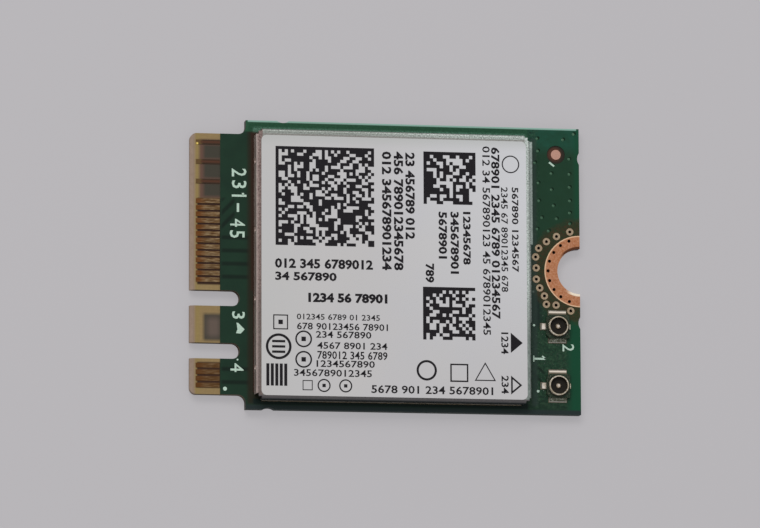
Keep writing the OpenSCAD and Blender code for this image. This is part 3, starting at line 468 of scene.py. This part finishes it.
# %% Shield sheet
shield_sheet, tree, shader = finish("nickel-silver sheet, rolled", 0.45, 1.0)
speckles = patches(tree, 0.1, 0.3, middle=0.55)
mottle = patches(tree, 0.11, 0.25, middle=0.52)
end_mottle = patches(tree, 0.11, 0.25, (1, 0.5, 1), 0.52)
end_streaks = patches(tree, 0.14, 0.3, (1, 0.5, 1), 0.55)
contact_side = inside(tree, 0.04, x=(None, -9.65))
contact_rim = inside(tree, 0.02, x=(None, -10.05), z=(None, 1.97))
end_side = inside(tree, 0.05, x=(10.55, None))
end_shade = inside(tree, 2.0, y=(-12, -3.5))
far_side = inside(tree, 0.05, y=(9.68, None))
low_side = inside(tree, 0.03, y=(None, -10.05))
low_wall = inside(tree, 0.02, y=(None, -10.29), z=(None, 1.95))
low_rim = inside(tree, 0.02, y=(None, -10.29), z=(None, 1.10))
coats(tree, shader, "#aaada5",
      (patches(tree, 0.35, 0.5), 1.0, "#8b9088"),
      (patches(tree, 0.1, 0.2, middle=0.6), 1.0, "#c9ccc6"),
      # far and end sides: pale and speckled, painted shade towards the contact side and the lower end, and
      # a thin line of painted shade beside the label
      (far_side, 0.8, "#a2aaa3"),
      (far_side, mottle, 0.9, "#737b75"),
      (far_side, speckles, 0.9, "#cdd6d0"),
      (far_side, inside(tree, 4.0, x=(None, 1)), 0.55, "#74766f"),
      (inside(tree, 0.03, y=(9.70, 9.84)), 0.7, "#85807c"),
      (end_side, 0.8, "#b4beb7"),
      (end_side, end_mottle, 0.9, "#88938c"),
      (end_side, speckles, 0.9, "#dce5df"),
      (end_side, end_shade, 0.85, "#69736d"),
      (end_side, end_shade, end_streaks, 0.6, "#a3ada6"),
      # contact side: pinkish rim, darker towards the lower end, and a skirt painted light as a painted
      # highlight
      (contact_side, 0.95, "#776661"),
      (contact_side, speckles, 0.8, "#9b8983"),
      (contact_side, patches(tree, 0.12, 0.3, middle=0.6), 0.9, "#524240"),
      (contact_side, inside(tree, 1.5, y=(None, -2.5)), 0.5, "#67615c"),
      (contact_side, contact_rim, 1.0, "#e4d2ca"),
      # lower side: painted shade on rim and skirt, and a pale painted highlight at the skirt's foot
      (low_side, 0.9, "#585456"),
      (low_side, low_wall, 0.9, "#3c4345"),
      (low_side, low_rim, 0.9, "#b0a9a6"))
grain(tree, shader, 0.12, 0.010)
print("shield material:", shield_sheet.name)

# %% [markdown]
# Reflowed solder is smooth and bright, while a bare tinned land is duller. The strip of land that
# shows beside the shield on the side of the contacts lies in the wall's shade and looks brown.

# %% Solder and tin
solder, tree, shader = finish("reflowed solder", 0.35, 1.0)
coats(tree, shader, "#c4c1b8", (patches(tree, 0.2, 0.4), 1.0, "#9c978c"))
grain(tree, shader, 0.2, 0.006)

tinned, tree, shader = finish("tinned copper land", 0.5, 1.0)
coats(tree, shader, "#8f8b80",
      (patches(tree, 0.15, 0.4), 1.0, "#6f6a60"),
      (inside(tree, 0.03, x=(None, -9.8)), 0.9, "#3d231a"))
grain(tree, shader, 0.15, 0.004)
print("metal finishes ready")

# %% [markdown]
# The label is a white polyester film with a satin face. Under soft light it is a light grey with
# the faintest warm and cool clouds, and painted light and shade lie across it: darker towards the
# contact end and along its far edge, lighter and cooler towards the notch end. Its print is a black
# resin, and the board's is a white epoxy that lets a little green through.

# %% Label film and print inks
label_film, tree, shader = finish("polyester label film, satin white", 0.5, specular=0.4)
coats(tree, shader, "#bab8b6",
      (patches(tree, 5, 0.6), 0.6, "#b6b6ba"),
      # painted light and shade: darker towards the contact end, lighter towards the notch end, darker along
      # the far edge
      (inside(tree, 3.0, x=(None, -8.0)), 0.5, "#b1b2ad"),
      (inside(tree, 7.0, x=(5, None), y=(-2, None)), 0.8, "#c8cacd"),
      (inside(tree, 0.4, y=(9.3, 10)), 0.6, "#a9aca8"))
grain(tree, shader, 0.6, 0.002)

label_ink, tree, shader = finish("black resin print", 0.5, specular=0.12)
coats(tree, shader, "#131114", (patches(tree, 0.05, 0.3), 1.0, "#1e1b1f"))

silk_ink, tree, shader = finish("white epoxy silkscreen", 0.5, specular=0.3)
coats(tree, shader, "#bcd2c2", (patches(tree, 0.08, 0.4), 1.0, "#9fb8a8"))
grain(tree, shader, 0.08, 0.004)
print("label and inks ready")

# %% [markdown]
# Under the shield sit black moulded chips and fired ceramic parts. Nobody sees them with the lid
# on, so a base colour with one cloudy coat is enough, and one function makes all five.

# %% Chips and ceramics
def fired(name, base, cloud, size_mm, roughness):
    material, tree, shader = finish(name, roughness)
    coats(tree, shader, base, (patches(tree, size_mm, 0.4), 1.0, cloud))
    grain(tree, shader, size_mm, 0.004)
    return material


chip_mould = fired("epoxy moulding compound, black", "#1b1b1d", "#242427", 0.12, 0.55)
dark_ceramic = fired("fired ceramic, dark", "#38373a", "#2b2a2c", 0.1, 0.4)
light_ceramic = fired("fired ceramic, light", "#dcd8ca", "#cbc6b6", 0.1, 0.45)
tan_ceramic = fired("fired ceramic, tan", "#a9845a", "#947048", 0.1, 0.4)
ferrite = fired("sintered ferrite", "#4a4a4d", "#3b3b3e", 0.1, 0.5)
print("chips and ceramics ready")

# %% [markdown]
# The antenna ports are formed rings in a dark moulded insulator. Their plating is thin gold over
# nickel, and their light is painted into it by place. The feet on the side of the far edge have a
# painted highlight at their outer ends and painted shade further in, the others are speckled and
# darker with painted shade, and the contact in the middle is painted near white as its highlight.

# %% Antenna port finishes
insulator, tree, shader = finish("liquid crystal polymer, moulded", 0.5, specular=0.15)
coats(tree, shader, "#1c3023",
      (patches(tree, 0.15, 0.4), 1.0, "#223524"),
      (patches(tree, 0.10, 0.2, middle=0.57), 0.8, "#4a473a"),
      (patches(tree, 0.13, 0.08, middle=0.68), 0.6, "#7f8d7b"),
      (patches(tree, 0.12, 0.2, middle=0.56), 0.8, "#101a14"),
      *((round_point(tree, x, y, 0.82, 0.12, 0.1), 0.9, "#19120e") for x, y in ports))
grain(tree, shader, 0.15, 0.004)

port_gold, tree, shader = finish("port plating, thin gold over nickel", 0.32, 1.0)
foot_in, foot_tip, foot_out = 0.78, 1.04, 1.4
# painted light on the feet: a highlight at the outer ends of those towards the far edge, shade on the
# others
bright_feet = [inside(tree, 0.04, y=(y + foot_in, y + foot_out), z=(None, 1.0)) for _, y in ports]
bright_tips = [inside(tree, 0.04, y=(y + foot_tip, y + foot_out), z=(None, 1.0)) for _, y in ports]
shaded_feet = [inside(tree, 0.04, y=(y - foot_out, y - foot_in), z=(None, 1.0)) for _, y in ports]
coats(tree, shader, "#d6ccb6",
      (patches(tree, 0.25, 0.4), 1.0, "#a3947a"),
      (patches(tree, 0.12, 0.2, middle=0.62), 1.0, "#f5efe2"),
      *((foot, 0.9, "#6f6757") for foot in bright_feet),
      *((tip, 1.0, "#fff3e0") for tip in bright_tips),
      *((foot, 0.9, "#4f5546") for foot in shaded_feet),
      *((foot, patches(tree, 0.12, 0.2, middle=0.54), 0.8, "#a2a89a") for foot in shaded_feet),
      *((foot, patches(tree, 0.10, 0.2, middle=0.52), 0.8, "#20261e") for foot in shaded_feet))
grain(tree, shader, 0.15, 0.003)

# the centre contact's plating is painted near white as its highlight
pin_gold, tree, shader = finish("centre contact, plating with a painted highlight", 0.3, 1.0)
coats(tree, shader, "#fff6ea", (patches(tree, 0.2, 0.4), 1.0, "#c9b9a2"))
grain(tree, shader, 0.15, 0.003)
print("port finishes ready")

# %% [markdown]
# Each CAD solid now gets its finish. The meshes stay as they are: only the material changes.

# %% Dress the CAD solids
finish_of = {
    "pcb_laminate": laminate, "solder_mask_top": mask_green, "solder_mask_bottom": mask_green,
    "edge_contacts_top": contact_gold, "edge_contacts_bottom": contact_gold, "test_pads": contact_gold,
    "mounting_ring": ring_copper, "fiducial": ring_copper, "stitching_vias": via_copper,
    "shield_land": tinned, "component_lands": tinned, "radio_chip_terminals": tinned,
    "shield_solder": solder, "antenna_solder": solder, "inductor_terminals": solder,
    "capacitor_terminals": solder, "resistor_terminals": solder,
    "shield_frame": shield_sheet, "shield_lid": shield_sheet, "crystal_lid": shield_sheet,
    "label": label_film, "radio_chip": chip_mould, "front_end_modules": chip_mould,
    "memory_chip": chip_mould, "crystal_base": dark_ceramic, "resistor_bodies": dark_ceramic,
    "band_filters": light_ceramic, "capacitor_bodies": tan_ceramic, "power_inductors": ferrite,
    "antenna_1_shell": port_gold, "antenna_1_base": insulator, "antenna_1_contact": pin_gold,
    "antenna_2_shell": port_gold, "antenna_2_base": insulator, "antenna_2_contact": pin_gold,
}
for node_name, material in finish_of.items():
    dressed = bpy.data.objects[node_name]
    dressed.data.materials.clear()
    dressed.data.materials.append(material)
print("dressed", len(finish_of), "of", len(nodes), "nodes")

# %% [markdown]
# Print is a film of ink a few thousandths of a millimetre thick. Here it is a thin closed mesh
# that is sunk a little into what it is printed on, so that it never floats or flickers. A flat
# image could carry it too, but a mesh keeps a crisp edge however near the camera comes.

# %% Helpers for pieces and plates
def place_piece(name, mesh, material):
    """Make a mesh a finished piece that rides on the card."""
    mesh.materials.clear()
    mesh.materials.append(material)
    piece = bpy.data.objects.new(name, mesh)
    bpy.context.collection.objects.link(piece)
    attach(piece, "root")
    print(name, len(mesh.polygons), "faces")


def printed(name, draw, material):
    film = bmesh.new()
    draw(film)
    mesh = bpy.data.meshes.new(name)
    film.to_mesh(mesh)
    film.free()
    place_piece(name, mesh, material)


def plate(film, points, low, high):
    """A flat closed plate between two heights. Its outline runs anticlockwise, so faces point out."""
    below = [film.verts.new((x * MM, y * MM, low * MM)) for x, y in points]
    above = [film.verts.new((x * MM, y * MM, high * MM)) for x, y in points]
    film.faces.new(list(reversed(below)))
    film.faces.new(above)
    count = len(points)
    for i in range(count):
        j = (i + 1) % count
        film.faces.new((below[i], below[j], above[j], above[i]))


def bar(film, box, low, high):
    x0, y0, x1, y1 = box
    plate(film, [(x0, y0), (x1, y0), (x1, y1), (x0, y1)], low, high)


print("plates and bars ready")

# %% [markdown]
# Rings, squares and triangles come from one idea: corners at even turns round a point. Two such
# outlines, one inside the other, make a closed flat ring.

# %% Helpers for rings
def corners(x, y, radius, sides, start_deg):
    turns = [math.radians(start_deg + 360 * k / sides) for k in range(sides)]
    return [(x + radius * math.cos(t), y + radius * math.sin(t)) for t in turns]


def loop(film, outer, inner, low, high):
    """A closed flat ring between two outlines with the same number of corners."""
    rings = [[film.verts.new((x * MM, y * MM, z * MM)) for x, y in points]
             for points, z in ((outer, low), (outer, high), (inner, high), (inner, low))]
    count = len(outer)
    for k in range(4):
        here, there = rings[k], rings[(k + 1) % 4]
        for i in range(count):
            j = (i + 1) % count
            film.faces.new((here[i], here[j], there[j], there[i]))


print("a square has corners", [tuple(round(v, 2) for v in p) for p in corners(0, 0, 1, 4, 45)])

# %% [markdown]
# The card is generic, so every line of print is plain running digits. They come from Blender's
# own font, made at unit size and then fitted to a box in millimetres. Lines read across, or
# downwards with their tops towards the antenna end. A bold line is the same font with its outline
# thickened before it is fitted.

# %% Digits
def digits(film, body, box, down, weight, low, high):
    letters = bpy.data.curves.new("digits", "FONT")
    letters.body = body
    letters.resolution_u = 2
    letters.offset = weight
    letters.extrude = 0.5
    writer = bpy.data.objects.new("digits", letters)
    bpy.context.collection.objects.link(writer)
    made = bpy.data.meshes.new_from_object(writer.evaluated_get(bpy.context.evaluated_depsgraph_get()))
    bpy.data.objects.remove(writer)
    xs, ys = ([v.co[k] for v in made.vertices] for k in (0, 1))
    x0, y0, x1, y1 = box
    line_length, digit_height = (y1 - y0, x1 - x0) if down else (x1 - x0, y1 - y0)
    fit = Matrix.Diagonal((line_length / (max(xs) - min(xs)), digit_height / (max(ys) - min(ys)),
                           high - low, 1))
    made.transform(fit @ Matrix.Translation((-min(xs), -min(ys), letters.extrude)))
    if down:
        made.transform(Matrix.Translation((x0, y1, low)) @ Matrix.Rotation(-math.pi / 2, 4, "Z"))
    else:
        made.transform(Matrix.Translation((x0, y0, low)))
    made.transform(Matrix.Scale(MM, 4))
    film.from_mesh(made)
    bpy.data.meshes.remove(made)


def running(groups, first=0):
    """Running digits in groups, such as 012 3456."""
    words, digit = [], first
    for size in groups:
        words.append("".join(str((digit + k) % 10) for k in range(size)))
        digit += size
    return " ".join(words)


print(running((3, 4)))

# %% [markdown]
# Everything on the label is measured from its lower left corner, which is read from the CAD
# label. Rings, squares and triangles are plain outlines of one line width each. A pointer is a
# triangle whose inner outline keeps one line width from each side, so it is scaled about the point
# that is equally far from all three.

# %% Shapes on the label
label_low, label_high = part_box("label")
label_x, label_y, label_top = label_low[0] / MM, label_low[1] / MM, label_high[2] / MM
ink_sunk, ink_proud = 0.003, 0.004
ink_span = (label_top - ink_sunk, label_top + ink_proud)


def on_label(x, y):
    return x + label_x, y + label_y


def box_on_label(box):
    return (*on_label(*box[:2]), *on_label(*box[2:]))


def ring(film, x, y, outer, line, sides=40, start_deg=0):
    around = on_label(x, y)
    loop(film, corners(*around, outer, sides, start_deg),
         corners(*around, outer - line, sides, start_deg), *ink_span)


def pointer(film, x, y, length, half, line):
    """A triangle that points at a port, filled or with an open middle."""
    outer = [on_label(x, y - half), on_label(x + length, y), on_label(x, y + half)]
    if not line:
        plate(film, outer, *ink_span)
        return
    inset = length * half / (half + math.hypot(length, half))
    middle = on_label(x + inset, y)
    share = 1 - line / inset
    inner = [tuple(m + (p - m) * share for p, m in zip(point, middle)) for point in outer]
    loop(film, outer, inner, *ink_span)


print("label corner at", round(label_x, 2), round(label_y, 2), "and top at", round(label_top, 2))

# %% [markdown]
# Each line of digits has a place, a size and a weight of its own, so they are kept as a list. One
# row to a line is easier to read and to change than as many calls would be.

# %% Lines of digits on the label
# box on the label (x0, y0, x1, y1), downwards?, thickening, groups of digits, first digit
label_lines = [
    ((9.20, 9.65, 9.96, 18.74), True, 0.032, (3, 12), 0),
    ((10.11, 9.66, 10.87, 18.76), True, 0.032, (3, 12), 4),
    ((11.00, 12.05, 11.76, 18.70), True, 0.032, (2, 6, 3), 2),
    ((15.44, 10.21, 16.05, 14.26), True, 0.032, (8,), 1),
    ((14.46, 9.50, 15.14, 14.25), True, 0.032, (9,), 3),
    ((13.54, 10.64, 14.23, 14.23), True, 0.032, (7,), 5),
    ((12.53, 8.78, 13.21, 10.24), True, 0.032, (3,), 7),
    ((16.96, 4.87, 17.56, 19.34), True, 0.010, (3, 2, 9, 2, 10), 0),
    ((17.63, 6.11, 18.31, 19.28), True, 0.026, (6, 4, 4, 8), 6),
    ((18.39, 8.19, 18.92, 16.23), True, 0.010, (4, 2, 8, 3), 2),
    ((19.22, 9.73, 19.75, 16.24), True, 0.018, (6, 7), 5),
    ((1.02, 9.64, 8.51, 10.41), False, 0.032, (3, 3, 7), 0),
    ((1.04, 8.71, 5.73, 9.39), False, 0.032, (2, 6), 3),
    ((3.56, 7.08, 9.61, 7.84), False, 0.044, (4, 2, 5), 1),
    ((2.68, 5.77, 9.03, 6.22), False, 0.008, (6, 4, 2, 4), 0),
    ((2.69, 5.01, 9.64, 5.54), False, 0.010, (3, 8, 5), 6),
    ((4.14, 4.40, 8.37, 4.93), False, 0.012, (3, 6), 2),
    ((4.23, 3.57, 9.59, 4.10), False, 0.012, (4, 4, 3), 4),
    ((4.24, 2.80, 9.60, 3.42), False, 0.012, (6, 3, 4), 7),
    ((4.18, 2.19, 8.63, 2.72), False, 0.012, (10,), 1),
    ((2.46, 1.48, 8.41, 2.02), False, 0.010, (13,), 3),
    ((8.36, 0.29, 17.70, 0.91), False, 0.014, (4, 3, 3, 7), 5),
    ((18.34, 3.45, 18.90, 5.10), True, 0.016, (4,), 1),
    ((18.34, 0.42, 18.90, 1.80), True, 0.016, (3,), 2),
]
print("lines of digits:", len(label_lines))

# %% [markdown]
# The label's print is one piece: the lines of digits, a column of plain shapes at the lower left,
# a row of them at the lower right, and the pointers to the two antenna ports. Ink spreads a little
# on film, so every digit is made a touch fuller.

# %% Print on the label
ink_spread = 0.004
centre_dots = [(1.45, 5.55, 0.24), (3.20, 4.30, 0.24), (3.20, 2.75, 0.24), (4.75, 0.80, 0.18),
               (6.40, 0.80, 0.18)]


def shapes_at_left(film):
    ring(film, 1.45, 5.55, 0.80, 0.12, 4, 45)
    ring(film, 1.30, 3.70, 0.98, 0.19)
    for y in (3.20, 3.60, 4.00):
        bar(film, box_on_label((0.80, y, 1.80, y + 0.18)), *ink_span)
    for x in (0.36, 0.70, 1.04, 1.38, 1.72):
        bar(film, box_on_label((x, 0.72, x + 0.23, 2.40)), *ink_span)
    ring(film, 3.20, 4.30, 0.64, 0.12)
    ring(film, 3.20, 2.75, 0.64, 0.12)
    ring(film, 3.50, 0.80, 0.54, 0.09, 4, 45)
    ring(film, 4.75, 0.80, 0.50, 0.10)
    ring(film, 6.40, 0.80, 0.50, 0.10)
    for x, y, size in centre_dots:
        plate(film, corners(*on_label(x, y), size, 4, 45), *ink_span)


def print_label(film):
    for box, down, weight, groups, first in label_lines:
        digits(film, running(groups, first), box_on_label(box), down, weight + ink_spread, *ink_span)
    shapes_at_left(film)
    ring(film, 12.60, 2.10, 0.78, 0.17)
    ring(film, 15.10, 1.95, 0.98, 0.16, 4, 45)
    ring(film, 17.10, 1.85, 0.95, 0.16, 3, 90)
    ring(film, 19.15, 18.00, 0.68, 0.09)
    pointer(film, 19.08, 4.32, 0.92, 0.77, 0)
    pointer(film, 19.08, 1.10, 0.86, 0.72, 0.13)


printed("label_print", print_label, label_ink)

# %% [markdown]
# What repeats is made by Geometry Nodes. Each tree has named inputs, and ends by turning its
# instances into real mesh and giving it a material, because instances don't survive the export.
# A tree runs once, on a holder that is thrown away, and leaves a plain mesh.

# %% Helpers for Geometry Nodes
def new_group(name, sockets):
    """A tree with named inputs and one geometry output, and the sockets that its inputs give."""
    group = bpy.data.node_groups.new(name, "GeometryNodeTree")
    for socket, kind in sockets:
        group.interface.new_socket(socket, in_out="INPUT", socket_type="NodeSocket" + kind)
    group.interface.new_socket("Geometry", in_out="OUTPUT", socket_type="NodeSocketGeometry")
    return group, add(group, "NodeGroupInput").outputs


def end_group(group, instances, material):
    real = add(group, "GeometryNodeRealizeInstances", {0: instances}).outputs[0]
    done = add(group, "GeometryNodeSetMaterial", {"Geometry": real, "Material": material}).outputs[0]
    add(group, "NodeGroupOutput", {0: done})


def grow(name, group, settings, base=None):
    """Run a node tree once and return its result as a plain mesh."""
    holder = bpy.data.objects.new(name, base or bpy.data.meshes.new(name))
    bpy.context.collection.objects.link(holder)
    modifier = holder.modifiers.new("grow", "NODES")
    modifier.node_group = group
    for item in group.interface.items_tree:
        if item.in_out == "INPUT" and item.name in settings:
            modifier[item.identifier] = settings[item.name]
    made = bpy.data.meshes.new_from_object(holder.evaluated_get(bpy.context.evaluated_depsgraph_get()))
    bpy.data.objects.remove(holder)
    return made


print("Geometry Nodes helpers ready")

# %% [markdown]
# Three square fields of small modules fill the rest of the label. Their cells follow a rule: the
# tree lays out a grid of points, keeps a seeded random share of them and one solid row and
# column, and puts a small block on each point that is left.

# %% The tree of a square field
def module_tree():
    group, given = new_group("module field", (("Count", "Int"), ("Pitch", "Float"), ("Thickness", "Float"),
                                              ("Share", "Float"), ("Seed", "Int"), ("Ink", "Material")))
    count, pitch = given["Count"], given["Pitch"]
    less = add(group, "ShaderNodeMath", {0: count, 1: 1.0}, operation="SUBTRACT").outputs[0]
    span = add(group, "ShaderNodeMath", {0: less, 1: pitch}, operation="MULTIPLY").outputs[0]
    grid = add(group, "GeometryNodeMeshGrid", {
        "Size X": span, "Size Y": span, "Vertices X": count, "Vertices Y": count}).outputs["Mesh"]

    # the first column and the last row, found within a tenth of a millimetre of the grid's edge
    place = add(group, "GeometryNodeInputPosition").outputs[0]
    where = add(group, "ShaderNodeSeparateXYZ", {0: place}).outputs
    edge = add(group, "ShaderNodeMath", {0: span, 1: 0.5, 2: -0.1 * MM},
               operation="MULTIPLY_ADD").outputs[0]
    back = add(group, "ShaderNodeMath", {0: edge, 1: -1.0}, operation="MULTIPLY").outputs[0]
    left = add(group, "FunctionNodeCompare", {0: where[0], 1: back},
               data_type="FLOAT", operation="LESS_THAN").outputs[0]
    top = add(group, "FunctionNodeCompare", {0: where[1], 1: edge},
              data_type="FLOAT", operation="GREATER_THAN").outputs[0]
    solid = add(group, "FunctionNodeBooleanMath", {0: left, 1: top}, operation="OR").outputs[0]

    lucky = add(group, "FunctionNodeRandomValue", {6: given["Share"], 8: given["Seed"]},
                data_type="BOOLEAN").outputs[3]
    keep = add(group, "FunctionNodeBooleanMath", {0: solid, 1: lucky}, operation="OR").outputs[0]
    size = add(group, "ShaderNodeCombineXYZ", {0: pitch, 1: pitch, 2: given["Thickness"]}).outputs[0]
    cell = add(group, "GeometryNodeMeshCube", {"Size": size}).outputs["Mesh"]
    cells = add(group, "GeometryNodeInstanceOnPoints",
                {"Points": grid, "Selection": keep, "Instance": cell}).outputs[0]
    end_group(group, cells, given["Ink"])
    return group


fields = module_tree()
print("field tree has", len(fields.nodes), "nodes")

# %% [markdown]
# The large field has 32 modules a side and the two small ones 16. Each has its own seed, so no
# two are alike, and the same seed gives the same field on every run.

# %% Square fields of modules
# x and y on the label, length of a side, modules a side, share that is kept, seed
field_rows = [
    (1.07, 11.40, 7.55, 32, 0.60, 5),
    (12.42, 14.80, 4.02, 16, 0.56, 8),
    (12.34, 4.44, 4.02, 16, 0.56, 13),
]
for number, (x, y, side, count, kept, seed) in enumerate(field_rows, 1):
    made = grow("field", fields, {
        "Count": count, "Pitch": side / count * MM, "Thickness": (ink_sunk + ink_proud) * MM,
        "Share": kept, "Seed": seed, "Ink": label_ink})
    middle = Vector((*on_label(x + side / 2, y + side / 2), sum(ink_span) / 2)) * MM
    made.transform(Matrix.Translation(middle))
    place_piece(f"label_field_{number}", made, label_ink)

# %% [markdown]
# The board carries white silkscreen: port numbers, a row of digits along the tongue, and a few
# small marks. It stands a few thousandths above the mask. The 1 by the port is drawn from plain
# plates, with a foot, because the font's own 1 is a bare stroke.

# %% Silkscreen on the board
board_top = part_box("solder_mask_top")[1][2] / MM
silk_sunk, silk_proud = 0.004, 0.006
silk_span = (board_top - silk_sunk, board_top + silk_proud)
# digit, thickening, box on the board (x0, y0, x1, y1)
board_digits = [
    ("2", 0.006, (13.60, -6.16, 14.50, -5.60)), ("3", 0.012, (-11.80, -4.19, -10.82, -3.63)),
    ("4", 0.006, (-11.92, -8.22, -10.92, -7.56)), ("2", 0.010, (-11.82, 6.66, -10.70, 7.28)),
    ("3", 0.010, (-11.82, 5.76, -10.70, 6.36)), ("1", 0.000, (-11.82, 5.12, -10.70, 5.28)),
    ("4", 0.004, (-11.94, 2.82, -10.80, 3.43)), ("5", 0.010, (-11.98, 1.97, -10.84, 2.54))]
dash = (-11.44, 3.96, -11.26, 4.62)
flag_of_tongue_1 = (-11.05, 5.24, -10.88, 5.42)
stem_of_port_1 = (11.40, -6.84, 12.28, -6.69)
foot_of_port_1 = (11.32, -6.99, 11.41, -6.53)
flag_of_port_1 = [(12.28, -6.84), (12.28, -6.69), (12.05, -6.51), (11.98, -6.58), (12.10, -6.69)]
board_dots = [(11.40, -4.20, 0.09), (11.68, -9.25, 0.10), (-12.33, -9.50, 0.15), (-11.38, -7.28, 0.07)]
arrow = [(-11.14, -5.30), (-10.84, -4.98), (-11.30, -4.52), (-11.46, -4.47), (-11.38, -4.98),
         (-11.50, -5.28)]
dot_tick = [(13.02, 8.02), (13.10, 8.12), (12.72, 8.42), (12.62, 8.32)]


def print_board(film):
    for body, weight, box in board_digits:
        digits(film, body, box, True, weight, *silk_span)
    for box in (dash, flag_of_tongue_1, stem_of_port_1, foot_of_port_1):
        bar(film, box, *silk_span)
    plate(film, flag_of_port_1, *silk_span)
    for x, y, radius in board_dots:
        plate(film, corners(x, y, radius, 24, 0), *silk_span)
    plate(film, arrow, *silk_span)
    plate(film, dot_tick, *silk_span)


printed("board_silkscreen", print_board, silk_ink)

# %% [markdown]
# Small vias that the mask covers show as low pale domes in loose rows between the shield and the
# board's far end, each with a flat dark lens of mask beside it as its painted shadow. The open vias
# and the holes in the copper round the notch are closed half way down by dark plugs, painted shade
# for the dark inside a narrow hole, so that no floor shows through them.

# %% Finishes and places of the vias
via_tent, tree, shader = finish("solder mask over a small via", 0.4, specular=0.2)
coats(tree, shader, "#4a6d55", (patches(tree, 0.12, 0.4), 1.0, "#2c4a36"))
# finishes of the painted shadow beside each covered via and of the painted shade in the holes
via_shadow_finish, tree, shader = finish("solder mask, painted shadow beside a small via", 0.5, specular=0.05)
coats(tree, shader, "#0e2015", (patches(tree, 0.12, 0.4), 1.0, "#152a1c"))
hole_shade, tree, shader = finish("dark plug, painted shade in a via hole", 0.7, specular=0.05)
coats(tree, shader, "#0c0706", (patches(tree, 0.1, 0.4), 1.0, "#160c09"))

covered = [(14.57, 10.58), (11.73, 10.16), (13.73, 10.13), (11.77, 9.22), (11.53, 8.30), (14.20, 8.65),
           (12.81, 7.50), (14.21, 7.48), (11.79, 6.75), (14.22, 6.47), (12.82, 6.25), (11.83, 5.37),
           (14.23, 5.42), (12.97, 5.02), (14.22, 4.49), (12.05, 4.08), (13.19, 4.02), (14.23, 3.65),
           (11.69, 3.19), (12.56, 3.06)]
via_shadow_spots = [(x + 0.08, y + 0.07) for x, y in covered]


def around_notch(distance, degrees):
    turn = math.radians(degrees)
    return notch_x - distance * math.cos(turn), -distance * math.sin(turn)


# how many land radii an open via is from the notch's middle, and its turn in degrees
via_turns = [(1.138, -76), (1.167, -56), (1.244, -41), (1.32, -28.5), (1.305, -17), (1.236, -3.5),
             (1.255, 11), (1.236, 23), (1.229, 35), (1.335, 44.5), (1.171, 54.5), (1.138, 76.5)]
open_vias = [around_notch(land_radius * radii, degrees) for radii, degrees in via_turns]
hole_circle, hole_step_deg = 2.47, 17.6
land_holes = [around_notch(hole_circle, hole_step_deg * k) for k in range(-4, 5)]
print(len(covered), "covered vias,", len(open_vias), "open ones and", len(land_holes), "holes in the land")

# %% [markdown]
# One tree makes the domes, the painted shadows and the dark plugs alike: it puts a squashed ball on
# each point of a mesh that is nothing but points.

# %% Covered vias and resin plugs
def dome_tree():
    group, given = new_group("covered vias", (("Geometry", "Geometry"), ("Radius", "Float"),
                                              ("Height", "Float"), ("Finish", "Material")))
    radius = given["Radius"]
    ball = add(group, "GeometryNodeMeshUVSphere",
               {"Segments": 16, "Rings": 8, "Radius": radius}).outputs[0]
    squash = add(group, "ShaderNodeMath", {0: given["Height"], 1: radius}, operation="DIVIDE").outputs[0]
    shape = add(group, "ShaderNodeCombineXYZ", {0: 1.0, 1: 1.0, 2: squash}).outputs[0]
    balls = add(group, "GeometryNodeInstanceOnPoints",
                {"Points": given["Geometry"], "Instance": ball, "Scale": shape}).outputs[0]
    end_group(group, balls, given["Finish"])
    return group


domes = dome_tree()
plug_depth = 0.25
# name, places, height of the middle, radius, half the thickness, finish
dome_rows = [
    ("covered_vias", covered, board_top, 0.11, 0.02, via_tent),
    # painted shadow beside each covered via, then painted shade half way down the holes
    ("via_shadows", via_shadow_spots, board_top, 0.13, 0.008, via_shadow_finish),
    ("via_hole_shade", open_vias + land_holes, board_top - plug_depth, 0.13, 0.08, hole_shade),
]
for name, places, z, radius, height, resin in dome_rows:
    points = bpy.data.meshes.new(name)
    points.from_pydata([(x * MM, y * MM, z * MM) for x, y in places], [], [])
    made = grow(name, domes, {"Radius": radius * MM, "Height": height * MM, "Finish": resin}, points)
    made.shade_smooth()
    place_piece(name, made, resin)

# %% End of the build
print("the scene is built")
